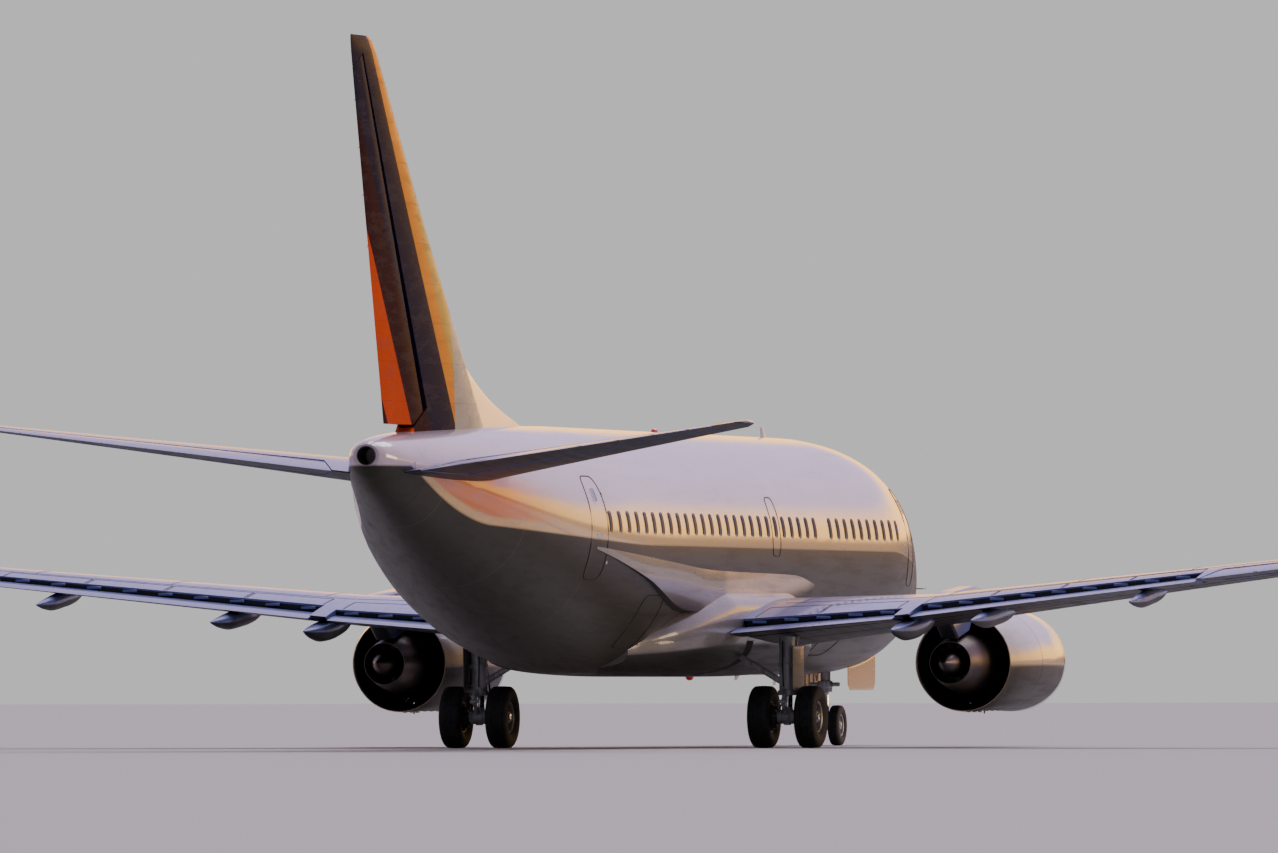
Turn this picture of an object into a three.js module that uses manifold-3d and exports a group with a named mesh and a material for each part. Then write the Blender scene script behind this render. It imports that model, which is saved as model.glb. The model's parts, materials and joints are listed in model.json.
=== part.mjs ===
// A twin-engined narrow-body airliner standing on its wheels, in millimetres.
// +X is the aircraft's right, +Y is forward and +Z is up. The origin is on the ground,
// under the middle of the overall length. A station is the distance aft of the nose tip.
import * as THREE from "three";
import { mergeVertices } from "three/addons/utils/BufferGeometryUtils.js";
import Module from "manifold-3d";

const wasm = await Module();
wasm.setup();

// Driving dimensions
const OVERALL_LENGTH = 33400;
const SPAN = 28880;
const TAIL_SPAN = 12700;
const TOP_OF_FIN = 11130;
const BODY_RADIUS = 1880; // half the width of the cabin tube
const BODY_TOP = 5190;
const BODY_WAIST = BODY_TOP - BODY_RADIUS; // height of the widest line
const BODY_BOTTOM = 1200;
const DIHEDRAL = Math.tan(THREE.MathUtils.degToRad(6));
const MAIN_GEAR_STATION = 16460;
const WHEELBASE = 12450;
const NOSE_GEAR_STATION = MAIN_GEAR_STATION - WHEELBASE;
const TRACK = 5230;
const ENGINE_OFFSET = 4830; // from the centre line to the engine's axis
const SEAT_GAP = 0.3; // between faces that touch
const RUNNING_GAP = 12; // at the ends of a hinged surface
const AROUND = 32; // points round the fuselage

const COLOURS = {
  white: { color: 0xe4e2e6, roughness: 0.25, metalness: 0.1 },
  grey: { color: 0xa9abb0, roughness: 0.35, metalness: 0.1 },
  belly: { color: 0x8b8c8f, roughness: 0.4, metalness: 0.1 },
  finPaint: { color: 0x3a1418, roughness: 0.3, metalness: 0.05 },
  rudderPaint: { color: 0x8c2a18, roughness: 0.3, metalness: 0.05 },
  bareMetal: { color: 0xc9c9cb, roughness: 0.22, metalness: 0.95 },
  hotMetal: { color: 0x5a4c44, roughness: 0.4, metalness: 0.9 },
  gearSteel: { color: 0xb9bcc0, roughness: 0.35, metalness: 0.6 },
  rim: { color: 0x9a9ca0, roughness: 0.4, metalness: 0.8 },
  rubber: { color: 0x16161a, roughness: 0.85, metalness: 0 },
  titanium: { color: 0x3c3f46, roughness: 0.35, metalness: 0.9 },
};

const aircraft = new THREE.Group();
const station = (s) => OVERALL_LENGTH / 2 - s;
const lerp = THREE.MathUtils.lerp;

// A closed geometry's solid, from its positions alone.
function solidOf(geometry) {
  const bare = geometry.clone();
  bare.deleteAttribute("normal");
  bare.deleteAttribute("uv");
  const merged = mergeVertices(bare, 1e-2);
  return new wasm.Manifold(
    new wasm.Mesh({
      numProp: 3,
      vertProperties: new Float32Array(merged.attributes.position.array),
      triVerts: new Uint32Array(merged.index.array),
    }),
  );
}

function geometryOf(solid) {
  const mesh = solid.getMesh();
  const geometry = new THREE.BufferGeometry();
  geometry.setAttribute("position", new THREE.BufferAttribute(mesh.vertProperties, 3));
  geometry.setIndex(new THREE.BufferAttribute(mesh.triVerts, 1));
  geometry.computeVertexNormals();
  return geometry;
}

// Keeps the largest body of a solid, without the slivers that a cut leaves.
function largestOf(solid) {
  return solid.decompose().reduce((a, b) => (a.volume() > b.volume() ? a : b));
}

function add(name, solid, colour) {
  const mesh = new THREE.Mesh(
    geometryOf(largestOf(solid)),
    new THREE.MeshStandardMaterial(COLOURS[colour]),
  );
  mesh.name = name;
  aircraft.add(mesh);
}

// Rings of equal length joined side by side, with a flat fan over each end.
function loft(rings) {
  const count = rings[0].length;
  const points = rings.flat();
  const index = [];
  for (let r = 0; r + 1 < rings.length; r++)
    for (let i = 0; i < count; i++) {
      const a = r * count + i;
      const b = r * count + ((i + 1) % count);
      index.push(a, b, a + count, b, b + count, a + count);
    }
  for (const [first, flip] of [[0, true], [(rings.length - 1) * count, false]]) {
    const middle = new THREE.Vector3();
    for (let i = 0; i < count; i++) middle.addScaledVector(points[first + i], 1 / count);
    points.push(middle);
    for (let i = 0; i < count; i++) {
      const a = first + i;
      const b = first + ((i + 1) % count);
      index.push(...(flip ? [b, a, points.length - 1] : [a, b, points.length - 1]));
    }
  }
  const geometry = new THREE.BufferGeometry().setFromPoints(points);
  geometry.setIndex(index);
  const solid = solidOf(geometry);
  if (solid.volume() > 0) return solid;
  for (let i = 0; i < index.length; i += 3)
    [index[i], index[i + 1]] = [index[i + 1], index[i]];
  geometry.setIndex(index);
  return solidOf(geometry);
}

// A closed profile of [radius, distance forward] turned about the fore-and-aft axis.
function turned(profile, segments = 28) {
  const points = profile.map(([r, y]) => new THREE.Vector2(r, y));
  if (profile[0][0] > 0) points.push(points[0].clone());
  const solid = solidOf(new THREE.LatheGeometry(points, segments));
  if (solid.volume() > 0) return solid;
  return solidOf(new THREE.LatheGeometry(points.reverse(), segments));
}

function box(width, length, height, x, y, z) {
  return solidOf(new THREE.BoxGeometry(width, length, height)).translate([x, y, z]);
}

// A round bar between two points.
function bar(from, to, radius, sides = 16, endRadius = radius) {
  const start = new THREE.Vector3(...from);
  const end = new THREE.Vector3(...to);
  const length = start.distanceTo(end);
  const geometry = new THREE.CylinderGeometry(endRadius, radius, length, sides);
  geometry.translate(0, length / 2, 0);
  const along = end.clone().sub(start).normalize();
  geometry.applyQuaternion(
    new THREE.Quaternion().setFromUnitVectors(new THREE.Vector3(0, 1, 0), along),
  );
  return solidOf(geometry).translate(from);
}

const joined = (...solids) => solids.reduce((a, b) => a.add(b));
const mirrored = (solid) => solid.mirror([1, 0, 0]);

const evened = (solid) => solid.add(mirrored(solid));

// The solid thickened all round, so that what it cuts keeps clear of it.
function thickened(solid, gap = SEAT_GAP * 2) {
  const steps = [-gap, gap].flatMap((d) => [[d, 0, 0], [0, d, 0], [0, 0, d]]);
  return joined(solid, ...steps.map((step) => solid.translate(step)));
}

// Fuselage: station, top, bottom, half width and height of the widest line
const BODY_SECTIONS = [
  { s: 0, top: 2660, bottom: 2580, half: 45, waist: 2620 },
  { s: 90, top: 2810, bottom: 2430, half: 210, waist: 2622 },
  { s: 300, top: 2970, bottom: 2240, half: 400, waist: 2620 },
  { s: 620, top: 3160, bottom: 2050, half: 590, waist: 2630 },
  { s: 1050, top: 3400, bottom: 1840, half: 780, waist: 2660 },
  { s: 1500, top: 3650, bottom: 1670, half: 945, waist: 2720 },
  { s: 1900, top: 3900, bottom: 1560, half: 1065, waist: 2800 },
  { s: 2400, top: 4270, bottom: 1450, half: 1190, waist: 2900 },
  { s: 2900, top: 4530, bottom: 1370, half: 1310, waist: 2990 },
  { s: 3500, top: 4740, bottom: 1300, half: 1450, waist: 3090 },
  { s: 4300, top: 4925, bottom: 1245, half: 1620, waist: 3190 },
  { s: 5300, top: 5070, bottom: 1213, half: 1770, waist: 3270 },
  { s: 6400, top: 5152, bottom: 1202, half: 1862, waist: 3310 },
  { s: 7600, top: BODY_TOP, bottom: BODY_BOTTOM, half: BODY_RADIUS, waist: BODY_WAIST },
  { s: 20600, top: BODY_TOP, bottom: BODY_BOTTOM, half: BODY_RADIUS, waist: BODY_WAIST },
  { s: 22200, top: BODY_TOP, bottom: 1230, half: BODY_RADIUS, waist: 3335 },
  { s: 23800, top: 5172, bottom: 1435, half: 1862, waist: 3390 },
  { s: 25400, top: 5150, bottom: 1795, half: 1765, waist: 3510 },
  { s: 27000, top: 5115, bottom: 2285, half: 1550, waist: 3710 },
  { s: 28600, top: 5065, bottom: 2840, half: 1220, waist: 3970 },
  { s: 30000, top: 5008, bottom: 3360, half: 865, waist: 4230 },
  { s: 31000, top: 4948, bottom: 3760, half: 615, waist: 4400 },
  { s: 31750, top: 4880, bottom: 4080, half: 415, waist: 4520 },
  { s: 32080, top: 4825, bottom: 4280, half: 285, waist: 4580 },
  { s: 32180, top: 4775, bottom: 4400, half: 205, waist: 4600 },
];
const RADOME_STATION = 1050;
const TAIL_CONE_STATION = 31000;
const EXHAUST_RADIUS = 150;
const EXHAUST_DEPTH = 500;

function bodyRing({ s, top, bottom, half, waist }, grow = 0) {
  return Array.from({ length: AROUND }, (_, i) => {
    const turn = (i / AROUND) * 2 * Math.PI;
    const side = Math.cos(turn);
    const rise = Math.sin(turn);
    const reach = (rise > 0 ? top - waist : waist - bottom) + grow;
    return new THREE.Vector3((half + grow) * side, station(s), waist + reach * rise);
  });
}

// Height and width of the body at any station, between the sections of the table.
function bodyAt(s) {
  const next = BODY_SECTIONS.findIndex((row) => row.s >= s);
  const b = BODY_SECTIONS[next];
  const a = BODY_SECTIONS[Math.max(next - 1, 0)];
  const t = a === b ? 0 : (s - a.s) / (b.s - a.s);
  const mix = (key) => lerp(a[key], b[key], t);
  return { s, top: mix("top"), bottom: mix("bottom"), half: mix("half"), waist: mix("waist") };
}

function bodyBetween(from, to, grow = 0) {
  const inside = BODY_SECTIONS.filter((row) => row.s > from + 1 && row.s < to - 1);
  return loft([bodyAt(from), ...inside, bodyAt(to)].map((row) => bodyRing(row, grow)));
}
const wholeBody = evened(bodyBetween(0, 32180, SEAT_GAP * 2));

// Wheel wells: the nose leg's slot, and the round wells that take the main wheels
const NOSE_WELL = { width: 860, from: 2350, to: 4350, roof: 2150 };
const MAIN_WELL = { x: 690, s: 16500, radius: 560, roof: 1750 };

function noseWell() {
  const { width, from, to, roof } = NOSE_WELL;
  return box(width, to - from, roof, 0, station((from + to) / 2), roof / 2);
}

function mainWells() {
  const { x, s, radius, roof } = MAIN_WELL;
  const well = bar([x, station(s), 0], [x, station(s), roof], radius, 24);
  const slot = box(1500, 420, roof, x + 750, station(s), roof / 2);
  return joined(well, mirrored(well), slot, mirrored(slot));
}

const cabinTube = bodyBetween(RADOME_STATION, TAIL_CONE_STATION)
  .subtract(noseWell())
  .subtract(mainWells());

function addFuselage() {
  add("fuselage", cabinTube, "white");
  add("radome", bodyBetween(0, RADOME_STATION - SEAT_GAP), "white");
  const tail = BODY_SECTIONS.at(-1);
  const end = station(tail.s);
  const outlet = bar([0, end - 50, tail.waist], [0, end + EXHAUST_DEPTH, tail.waist], EXHAUST_RADIUS, 20);
  const cone = bodyBetween(TAIL_CONE_STATION + SEAT_GAP, tail.s).subtract(outlet);
  add("tail_cone", cone, "grey");
}

// Wing-to-body fairing: station, half width, bottom, top and squareness of the section
const FAIRING_SECTIONS = [
  { s: 10600, half: 900, bottom: 1300, top: 2000 },
  { s: 11300, half: 1560, bottom: 1215, top: 2350 },
  { s: 12200, half: 1900, bottom: 1180, top: 2650 },
  { s: 13500, half: 2010, bottom: 1165, top: 2800 },
  { s: 17200, half: 2010, bottom: 1165, top: 2800 },
  { s: 18400, half: 1940, bottom: 1180, top: 2620 },
  { s: 19600, half: 1700, bottom: 1215, top: 2300 },
  { s: 20800, half: 1100, bottom: 1300, top: 1900 },
];
const FAIRING_SQUARENESS = 3.2;
const FAIRING_AROUND = 32;

function fairingRing({ s, half, bottom, top }, grow) {
  const middle = (top + bottom) / 2;
  const power = 2 / FAIRING_SQUARENESS;
  return Array.from({ length: FAIRING_AROUND }, (_, i) => {
    const turn = (i / FAIRING_AROUND) * 2 * Math.PI;
    const c = Math.cos(turn);
    const n = Math.sin(turn);
    const x = Math.sign(c) * Math.abs(c) ** power * (half + grow);
    const z = Math.sign(n) * Math.abs(n) ** power * ((top - bottom) / 2 + grow);
    return new THREE.Vector3(x, station(s), middle + z);
  });
}
const fairingShape = (grow = 0) => loft(FAIRING_SECTIONS.map((row) => fairingRing(row, grow)));
const wingRootCut = evened(fairingShape(SEAT_GAP * 2)).add(wholeBody);

const bellyFairing = largestOf(
  fairingShape().subtract(bodyBetween(9000, 22000, SEAT_GAP)).subtract(mainWells()),
);

// Aerofoils: a standard thickness curve on a shallow parabolic camber
const CHORD_STEPS = [0, 0.012, 0.05, 0.12, 0.24, 0.4, 0.58, 0.76, 0.9, 1];
const BLUNT_EDGE = 0.0028; // half the trailing edge's thickness, as a share of the chord

function halfThickness(f, t) {
  const curve =
    0.2969 * Math.sqrt(f) - 0.126 * f - 0.3516 * f ** 2 + 0.2843 * f ** 3 - 0.1036 * f ** 4;
  return 5 * t * curve + BLUNT_EDGE * f;
}
const camberAt = (f, camber) => 4 * camber * f * (1 - f);

// A section's points as [share of chord, height as a share of chord], right round.
function aerofoil(t, camber = 0) {
  const upper = CHORD_STEPS.map((f) => [f, camberAt(f, camber) + halfThickness(f, t)]);
  const lower = CHORD_STEPS.slice(1).map((f) => [f, camberAt(f, camber) - halfThickness(f, t)]);
  return [...upper, ...lower.reverse()];
}

// Wing planform: distance out, leading edge's station, chord, height and thickness
const WING_SECTIONS = [
  { x: 1200, le: 11150, chord: 6600, z: 1930, t: 0.128 },
  { x: 1950, le: 11700, chord: 6100, z: 1985, t: 0.128 },
  { x: 4900, le: 13760, chord: 4200, z: 2205, t: 0.122 },
  { x: 9700, le: 16266, chord: 2892, z: 2710, t: 0.112 },
  { x: 14140, le: 18584, chord: 1682, z: 3176, t: 0.108 },
  { x: 14360, le: 18780, chord: 1500, z: 3199, t: 0.09 },
  { x: SPAN / 2, le: 19010, chord: 1200, z: 3208, t: 0.05 },
];
const WING_CAMBER = 0.014;
const WING_INCIDENCE = THREE.MathUtils.degToRad(1.2);

function between(table, key, value) {
  const next = Math.max(table.findIndex((row) => row[key] >= value), 1);
  const a = table[next - 1];
  const b = table[next];
  const t = (value - a[key]) / (b[key] - a[key]);
  return Object.fromEntries(Object.keys(a).map((k) => [k, lerp(a[k], b[k], t)]));
}
const wingAt = (x) => between(WING_SECTIONS, "x", x);

// A point of the wing at a distance out, a share of the chord and a height off the camber line.
function wingPoint(x, f, height = 0) {
  const { le, chord, z } = wingAt(x);
  const rise = camberAt(f, WING_CAMBER) * chord + height;
  const tilt = (0.4 - f) * chord * Math.sin(WING_INCIDENCE);
  return new THREE.Vector3(x, station(le + f * chord), z + rise + tilt);
}
const wingThickness = (x, f) => halfThickness(f, wingAt(x).t) * wingAt(x).chord;

function wingRing({ x, le, chord, z, t }) {
  return aerofoil(t, WING_CAMBER).map(([f, h]) => {
    const tilt = (0.4 - f) * chord * Math.sin(WING_INCIDENCE);
    return new THREE.Vector3(x, station(le + f * chord), z + h * chord + tilt);
  });
}

// Flaps: inner end, outer end, share of the chord where the lower skin and the upper skin stop
const FLAP_REACH = 1.012; // the flap's tail, as a share of the wing's chord
const FLAP_DROP = 45;
const FLAPS = [
  { name: "inboard", from: 1900, to: 4800, lower: 0.79, upper: 0.86 },
  { name: "outboard", from: 5060, to: 10150, lower: 0.69, upper: 0.79 },
];
const FLAP_THICKNESS = 0.13;
const FLAP_END_GAP = 25;

// The space that a flap leaves in the wing: its front wall leans back under the upper skin.
function flapBay({ from, to, lower, upper }) {
  const ring = (x) => {
    const { chord } = wingAt(x);
    const far = 0.35 * chord;
    const low = wingPoint(x, lower, -wingThickness(x, lower) * 1.05);
    const high = wingPoint(x, upper, wingThickness(x, upper) * 0.72);
    return [
      low,
      high,
      high.clone().add(new THREE.Vector3(0, 0, far)),
      high.clone().add(new THREE.Vector3(0, -1.2 * chord, far)),
      low.clone().add(new THREE.Vector3(0, -1.2 * chord, -far)),
      low.clone().add(new THREE.Vector3(0, 0, -far)),
    ];
  };
  return loft([ring(from), ring(to)]);
}

// A flap a little way out on its tracks: its nose stays under the upper skin.
function flapSolid({ from, to, upper }) {
  const ring = (x) => {
    const nose = wingPoint(x, upper - 0.035, -wingThickness(x, upper) * 0.75);
    const tail = wingPoint(x, FLAP_REACH, -FLAP_DROP);
    const length = nose.distanceTo(tail);
    const back = tail.clone().sub(nose).divideScalar(length);
    const up = new THREE.Vector3(0, back.z, -back.y);
    return aerofoil(FLAP_THICKNESS, 0.01).map(([f, h]) =>
      nose.clone().addScaledVector(back, f * length).addScaledVector(up, h * length),
    );
  };
  return loft([ring(from + FLAP_END_GAP), ring(to - FLAP_END_GAP)]);
}

// A hinged surface in its own frame: u runs along the hinge, v points aft and w along the normal.
class HingedSurface {
  constructor({ start, end, normal, trailStart, trailEnd, noses, edge }) {
    this.start = start;
    this.u = end.clone().sub(start).normalize();
    this.length = start.distanceTo(end);
    this.w = normal.clone().addScaledVector(this.u, -normal.dot(this.u)).normalize();
    this.v = new THREE.Vector3().crossVectors(this.w, this.u);
    if (this.v.y > 0) this.v.negate();
    this.trail = [trailStart, trailEnd];
    this.noses = noses;
    this.edge = edge;
  }

  place(u, v, w) {
    return this.start
      .clone()
      .addScaledVector(this.u, u)
      .addScaledVector(this.v, v)
      .addScaledVector(this.w, w);
  }

  // How far aft of the hinge, and how high, the trailing edge is at a place along the hinge.
  trailAt(u) {
    const [a, b] = this.trail;
    const ua = a.clone().sub(this.start).dot(this.u);
    const ub = b.clone().sub(this.start).dot(this.u);
    const p = a.clone().lerp(b, (u - ua) / (ub - ua)).sub(this.start);
    return [p.dot(this.v), p.dot(this.w)];
  }

  ring(u) {
    const nose = lerp(this.noses[0], this.noses[1], u / this.length);
    const [aft, high] = this.trailAt(u);
    const arc = [];
    for (let i = 0; i <= 8; i++) {
      const turn = Math.PI / 2 + (i / 8) * Math.PI;
      arc.push(this.place(u, nose * Math.cos(turn), nose * Math.sin(turn)));
    }
    return [...arc, this.place(u, aft, high - this.edge), this.place(u, aft, high + this.edge)];
  }

  solid(pins = [true, true]) {
    const inner = RUNNING_GAP;
    const outer = this.length - RUNNING_GAP;
    const from = pins[0] ? SEAT_GAP : inner;
    const to = pins[1] ? this.length - SEAT_GAP : outer;
    const pin = bar(
      this.place(from, 0, 0).toArray(),
      this.place(to, 0, 0).toArray(),
      Math.min(...this.noses) * 0.5,
      12,
    );
    return loft([this.ring(inner), this.ring(outer)]).add(pin);
  }

  // What it leaves in the fixed surface.
  bay(openEnd = 0) {
    const front = Math.max(...this.noses) + RUNNING_GAP;
    const reach = 4000;
    const ring = (u, nose) =>
      [
        [-nose, -reach / 4],
        [-nose, reach / 4],
        [reach, reach / 4],
        [reach, -reach / 4],
      ].map(([v, w]) => this.place(u, v, w));
    return loft([
      ring(0, this.noses[0] + RUNNING_GAP),
      ring(this.length + openEnd, lerp(this.noses[0], this.noses[1], 1 + openEnd / this.length) + RUNNING_GAP),
    ]);
  }
}

const AILERON = { from: 10420, to: 13650, hinge: 0.745 };
const SURFACE_NOSE = 0.93; // the nose's radius as a share of the half thickness at the hinge

function aileronSurface() {
  const { from, to, hinge } = AILERON;
  const start = wingPoint(from, hinge);
  const end = wingPoint(to, hinge);
  return new HingedSurface({
    start,
    end,
    normal: new THREE.Vector3(0, 0, 1),
    trailStart: wingPoint(from, 1),
    trailEnd: wingPoint(to, 1),
    noses: [wingThickness(from, hinge) * SURFACE_NOSE, wingThickness(to, hinge) * SURFACE_NOSE],
    edge: 5,
  });
}

// Flap-track fairings: distance out, length ahead of and behind the flap's nose, depth
const TRACK_FAIRINGS = [
  { name: "inner", x: 4950, front: 1100, back: 1750, half: 190, depth: 320, droop: 0.12 },
  { name: "middle", x: 6400, front: 1400, back: 1750, half: 140, depth: 280, droop: 0.12 },
  { name: "outer", x: 9180, front: 1200, back: 1500, half: 115, depth: 250, droop: 0.14 },
];
const FAIRING_STEPS = [
  [0, 0.04],
  [0.08, 0.4],
  [0.25, 0.82],
  [0.45, 1],
  [0.65, 0.92],
  [0.85, 0.55],
  [1, 0.12],
];

// A canoe under the wing, whose tail bends down with the flap.
function trackFairing({ x, front, back, half, depth, droop }) {
  const nose = wingPoint(x, 0.76);
  const length = front + back;
  const rings = FAIRING_STEPS.map(([f, size]) => {
    const aft = f * length - front;
    const drop = Math.max(aft, 0) * droop;
    const lean = (wingPoint(x, 0.5).z - nose.z) / (wingPoint(x, 0.5).y - nose.y);
    const z = nose.z - 90 + (aft < 0 ? -aft * lean : 0) - drop;
    return Array.from({ length: 16 }, (_, i) => {
      const turn = (i / 16) * 2 * Math.PI;
      const rise = Math.sin(turn);
      return new THREE.Vector3(
        x + half * size * Math.cos(turn),
        nose.y - aft,
        z - 60 * size + (rise > 0 ? 90 : depth - 60) * size * rise,
      );
    });
  });
  return loft(rings);
}

function addWings() {
  const aileron = aileronSurface();
  const whole = loft(WING_SECTIONS.map(wingRing));
  const bays = joined(...FLAPS.map(flapBay), aileron.bay());
  const wing = largestOf(whole.subtract(bays).subtract(wingRootCut));
  const flaps = FLAPS.map(flapSolid).map((flap) => largestOf(flap.subtract(wingRootCut)));
  const above = joined(...[wing, ...flaps].map((solid) => thickened(solid)));
  const sides = [["right", (s) => s], ["left", mirrored]];
  for (const [side, turn] of sides) {
    add(`wing_${side}`, turn(wing), "grey");
    FLAPS.forEach((row, i) => add(`flap_${row.name}_${side}`, turn(flaps[i]), "grey"));
    add(`aileron_${side}`, turn(aileron.solid()), "grey");
    for (const row of TRACK_FAIRINGS)
      add(`flap_fairing_${row.name}_${side}`, turn(trackFairing(row).subtract(above)), "grey");
  }
  return wing;
}

// Fin: height, leading edge's station, chord and thickness
const FIN_SECTIONS = [
  { z: 4700, le: 25320, chord: 5755, t: 0.1 },
  { z: 5230, le: 25880, chord: 5360, t: 0.1 },
  { z: 8200, le: 29020, chord: 3147, t: 0.1 },
  { z: 10860, le: 31650, chord: 1348, t: 0.1 },
  { z: 11050, le: 31860, chord: 1180, t: 0.08 },
  { z: TOP_OF_FIN, le: 32080, chord: 960, t: 0.04 },
];
const RUDDER = { from: 5300, to: 10830, foot: 5110, hinge: 0.68 };
const finAt = (z) => between(FIN_SECTIONS, "z", z);

function finRing({ z, le, chord, t }) {
  return aerofoil(t).map(([f, h]) => new THREE.Vector3(h * chord, station(le + f * chord), z));
}
const finPoint = (z, f) => new THREE.Vector3(0, station(finAt(z).le + f * finAt(z).chord), z);
const finThickness = (z, f) => halfThickness(f, finAt(z).t) * finAt(z).chord;

function rudderSurface() {
  const { from, to: top, hinge } = RUDDER;
  return new HingedSurface({
    start: finPoint(from, hinge),
    end: finPoint(top, hinge),
    normal: new THREE.Vector3(1, 0, 0),
    trailStart: finPoint(from, 1),
    trailEnd: finPoint(top, 1),
    noses: [finThickness(from, hinge) * SURFACE_NOSE, finThickness(top, hinge) * SURFACE_NOSE],
    edge: 5,
  });
}

// Dorsal fin: a low ramp that runs up into the fin's leading edge.
const DORSAL = { from: 23300, to: 26750, top: 6180, half: 150 };

function dorsalSolid() {
  const { from, to, top, half } = DORSAL;
  const sections = [
    { s: from, top: BODY_TOP - 10, half: 20 },
    { s: lerp(from, to, 0.5), top: lerp(BODY_TOP, top, 0.36), half: half * 0.55 },
    { s: to, top, half: half * 0.8 },
    { s: to + 500, top: top + 350, half: half },
  ];
  return loft(
    sections.map(({ s, top: crest, half: wide }) =>
      [
        [-wide * 1.3, 5000],
        [-wide * 0.8, lerp(5000, crest, 0.6)],
        [-wide * 0.25, crest],
        [wide * 0.25, crest],
        [wide * 0.8, lerp(5000, crest, 0.6)],
        [wide * 1.3, 5000],
      ].map(([x, z]) => new THREE.Vector3(x, station(s), z)),
    ),
  );
}

function addFin() {
  const rudder = rudderSurface();
  const whole = loft(FIN_SECTIONS.map(finRing)).subtract(wholeBody);
  const fin = whole.subtract(rudder.bay());
  add("fin", fin, "finPaint");
  add("rudder", rudder.solid().trimByPlane([0, 0, 1], RUDDER.foot), "rudderPaint");
  add("dorsal_fin", dorsalSolid().subtract(thickened(whole)).subtract(wholeBody), "white");
}

// Tailplane: distance out, leading edge's station, chord, height and thickness
const TAILPLANE_SECTIONS = [
  { x: 300, le: 27550, chord: 4000, z: 4330, t: 0.1 },
  { x: 900, le: 27950, chord: 3720, z: 4400, t: 0.1 },
  { x: 6100, le: 31860, chord: 1300, z: 5060, t: 0.08 },
  { x: 6260, le: 32260, chord: 1090, z: 5077, t: 0.07 },
  { x: TAIL_SPAN / 2, le: 32900, chord: 500, z: 5085, t: 0.06 },
];
const ELEVATOR = { from: 1130, to: 5950, hinge: 0.7 };
const tailplaneAt = (x) => between(TAILPLANE_SECTIONS, "x", x);

function tailplaneRing({ x, le, chord, z, t }) {
  return aerofoil(t).map(([f, h]) => new THREE.Vector3(x, station(le + f * chord), z + h * chord));
}

function tailplanePoint(x, f) {
  const { le, chord, z } = tailplaneAt(x);
  return new THREE.Vector3(x, station(le + f * chord), z);
}
const tailplaneThickness = (x, f) => halfThickness(f, tailplaneAt(x).t) * tailplaneAt(x).chord;

function elevatorSurface() {
  const { from, to, hinge } = ELEVATOR;
  const noses = [from, to].map((x) => tailplaneThickness(x, hinge) * SURFACE_NOSE);
  return new HingedSurface({
    start: tailplanePoint(from, hinge),
    end: tailplanePoint(to, hinge),
    normal: new THREE.Vector3(0, 0, 1),
    trailStart: tailplanePoint(from, 1),
    trailEnd: tailplanePoint(to, 1),
    noses,
    edge: 5,
  });
}

function addTailplane() {
  const elevator = elevatorSurface();
  const whole = loft(TAILPLANE_SECTIONS.map(tailplaneRing)).subtract(wholeBody);
  const fixed = whole.subtract(elevator.bay());
  add("tailplane_right", fixed, "grey");
  add("tailplane_left", mirrored(largestOf(fixed)), "grey");
  add("elevator_right", elevator.solid(), "grey");
  add("elevator_left", mirrored(elevator.solid()), "grey");
}

// Engine: distances are forward of the bypass nozzle's lip, on an axis parallel to the body
const ENGINE = { s: 13490, z: 1390 };
const DUCT_RADIUS = 770;
const NOZZLE_RADIUS = 800;
const COWL_RADIUS = 1015;
const INLET_LIP = [
  [945, 3040],
  [930, 3200],
  [900, 3330],
  [858, 3400],
  [805, 3360],
  [775, 3230],
  [DUCT_RADIUS, 3040],
];
const FAN_COWL = [
  [945, 3039.7],
  [985, 2700],
  [COWL_RADIUS, 2150],
  [1010, 1350],
  [DUCT_RADIUS, 1350],
  [DUCT_RADIUS, 3039.7],
];
const SLEEVE = [
  [1010, 1349.7],
  [985, 900],
  [905, 350],
  [NOZZLE_RADIUS, 0],
  [785, 0],
  [DUCT_RADIUS, 500],
  [DUCT_RADIUS, 1349.7],
];
const CORE_COWL = [
  [545, 1300],
  [560, 900],
  [530, 300],
  [455, -300],
  [350, -900],
  [330, -900],
  [400, -350],
  [430, 300],
  [430, 1300],
];
const CORE_BLOCK = [
  [0, 2150],
  [300, 2150],
  [429.4, 1900],
  [429.4, 300],
  [399, -340],
  [0, -340],
];
const PLUG = [
  [0, -300],
  [235, -300],
  [240, -700],
  [150, -1100],
  [40, -1350],
  [0, -1360],
];
const SPINNER = [
  [0, 2880],
  [60, 2850],
  [180, 2680],
  [255, 2480],
  [255, 2190],
  [70, 2190],
  [70, 2150.3],
  [0, 2150.3],
];
const FAN_BLADES = 20;
const FAN_BLADE = { root: 220, tip: 756, chord: 150, thickness: 12, twist: 0.95, at: 2350 };
const GUIDE_VANES = 8;
const UNDERSIDE_SQUASH = 0.225;
const TOPSIDE_SQUASH = 0.09;

// The cowls bulge to the sides and are flattened below, but the duct inside stays round.
function flattened(solid) {
  return solid.warp((p) => {
    const radius = Math.hypot(p[0], p[2]);
    const out = THREE.MathUtils.clamp((radius - NOZZLE_RADIUS) / (COWL_RADIUS - NOZZLE_RADIUS), 0, 1);
    p[2] *= 1 - out * (p[2] < 0 ? UNDERSIDE_SQUASH : TOPSIDE_SQUASH);
  });
}

function fanSolid() {
  let fan = turned(SPINNER, 20);
  const { root, tip, chord, thickness, twist, at } = FAN_BLADE;
  const ring = (r, turn) =>
    [
      [-0.5, 0],
      [0, -0.5],
      [0.5, 0],
      [0, 0.5],
    ].map(([a, b]) => {
      const along = a * chord;
      const across = b * thickness * 2;
      return new THREE.Vector3(
        along * Math.sin(turn) + across * Math.cos(turn),
        at + along * Math.cos(turn) - across * Math.sin(turn),
        r,
      );
    });
  const blade = loft([ring(root, twist * 0.45), ring(tip, twist)]);
  for (let i = 0; i < FAN_BLADES; i++) fan = fan.add(blade.rotate([0, (i * 360) / FAN_BLADES, 0]));
  return fan;
}

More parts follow.
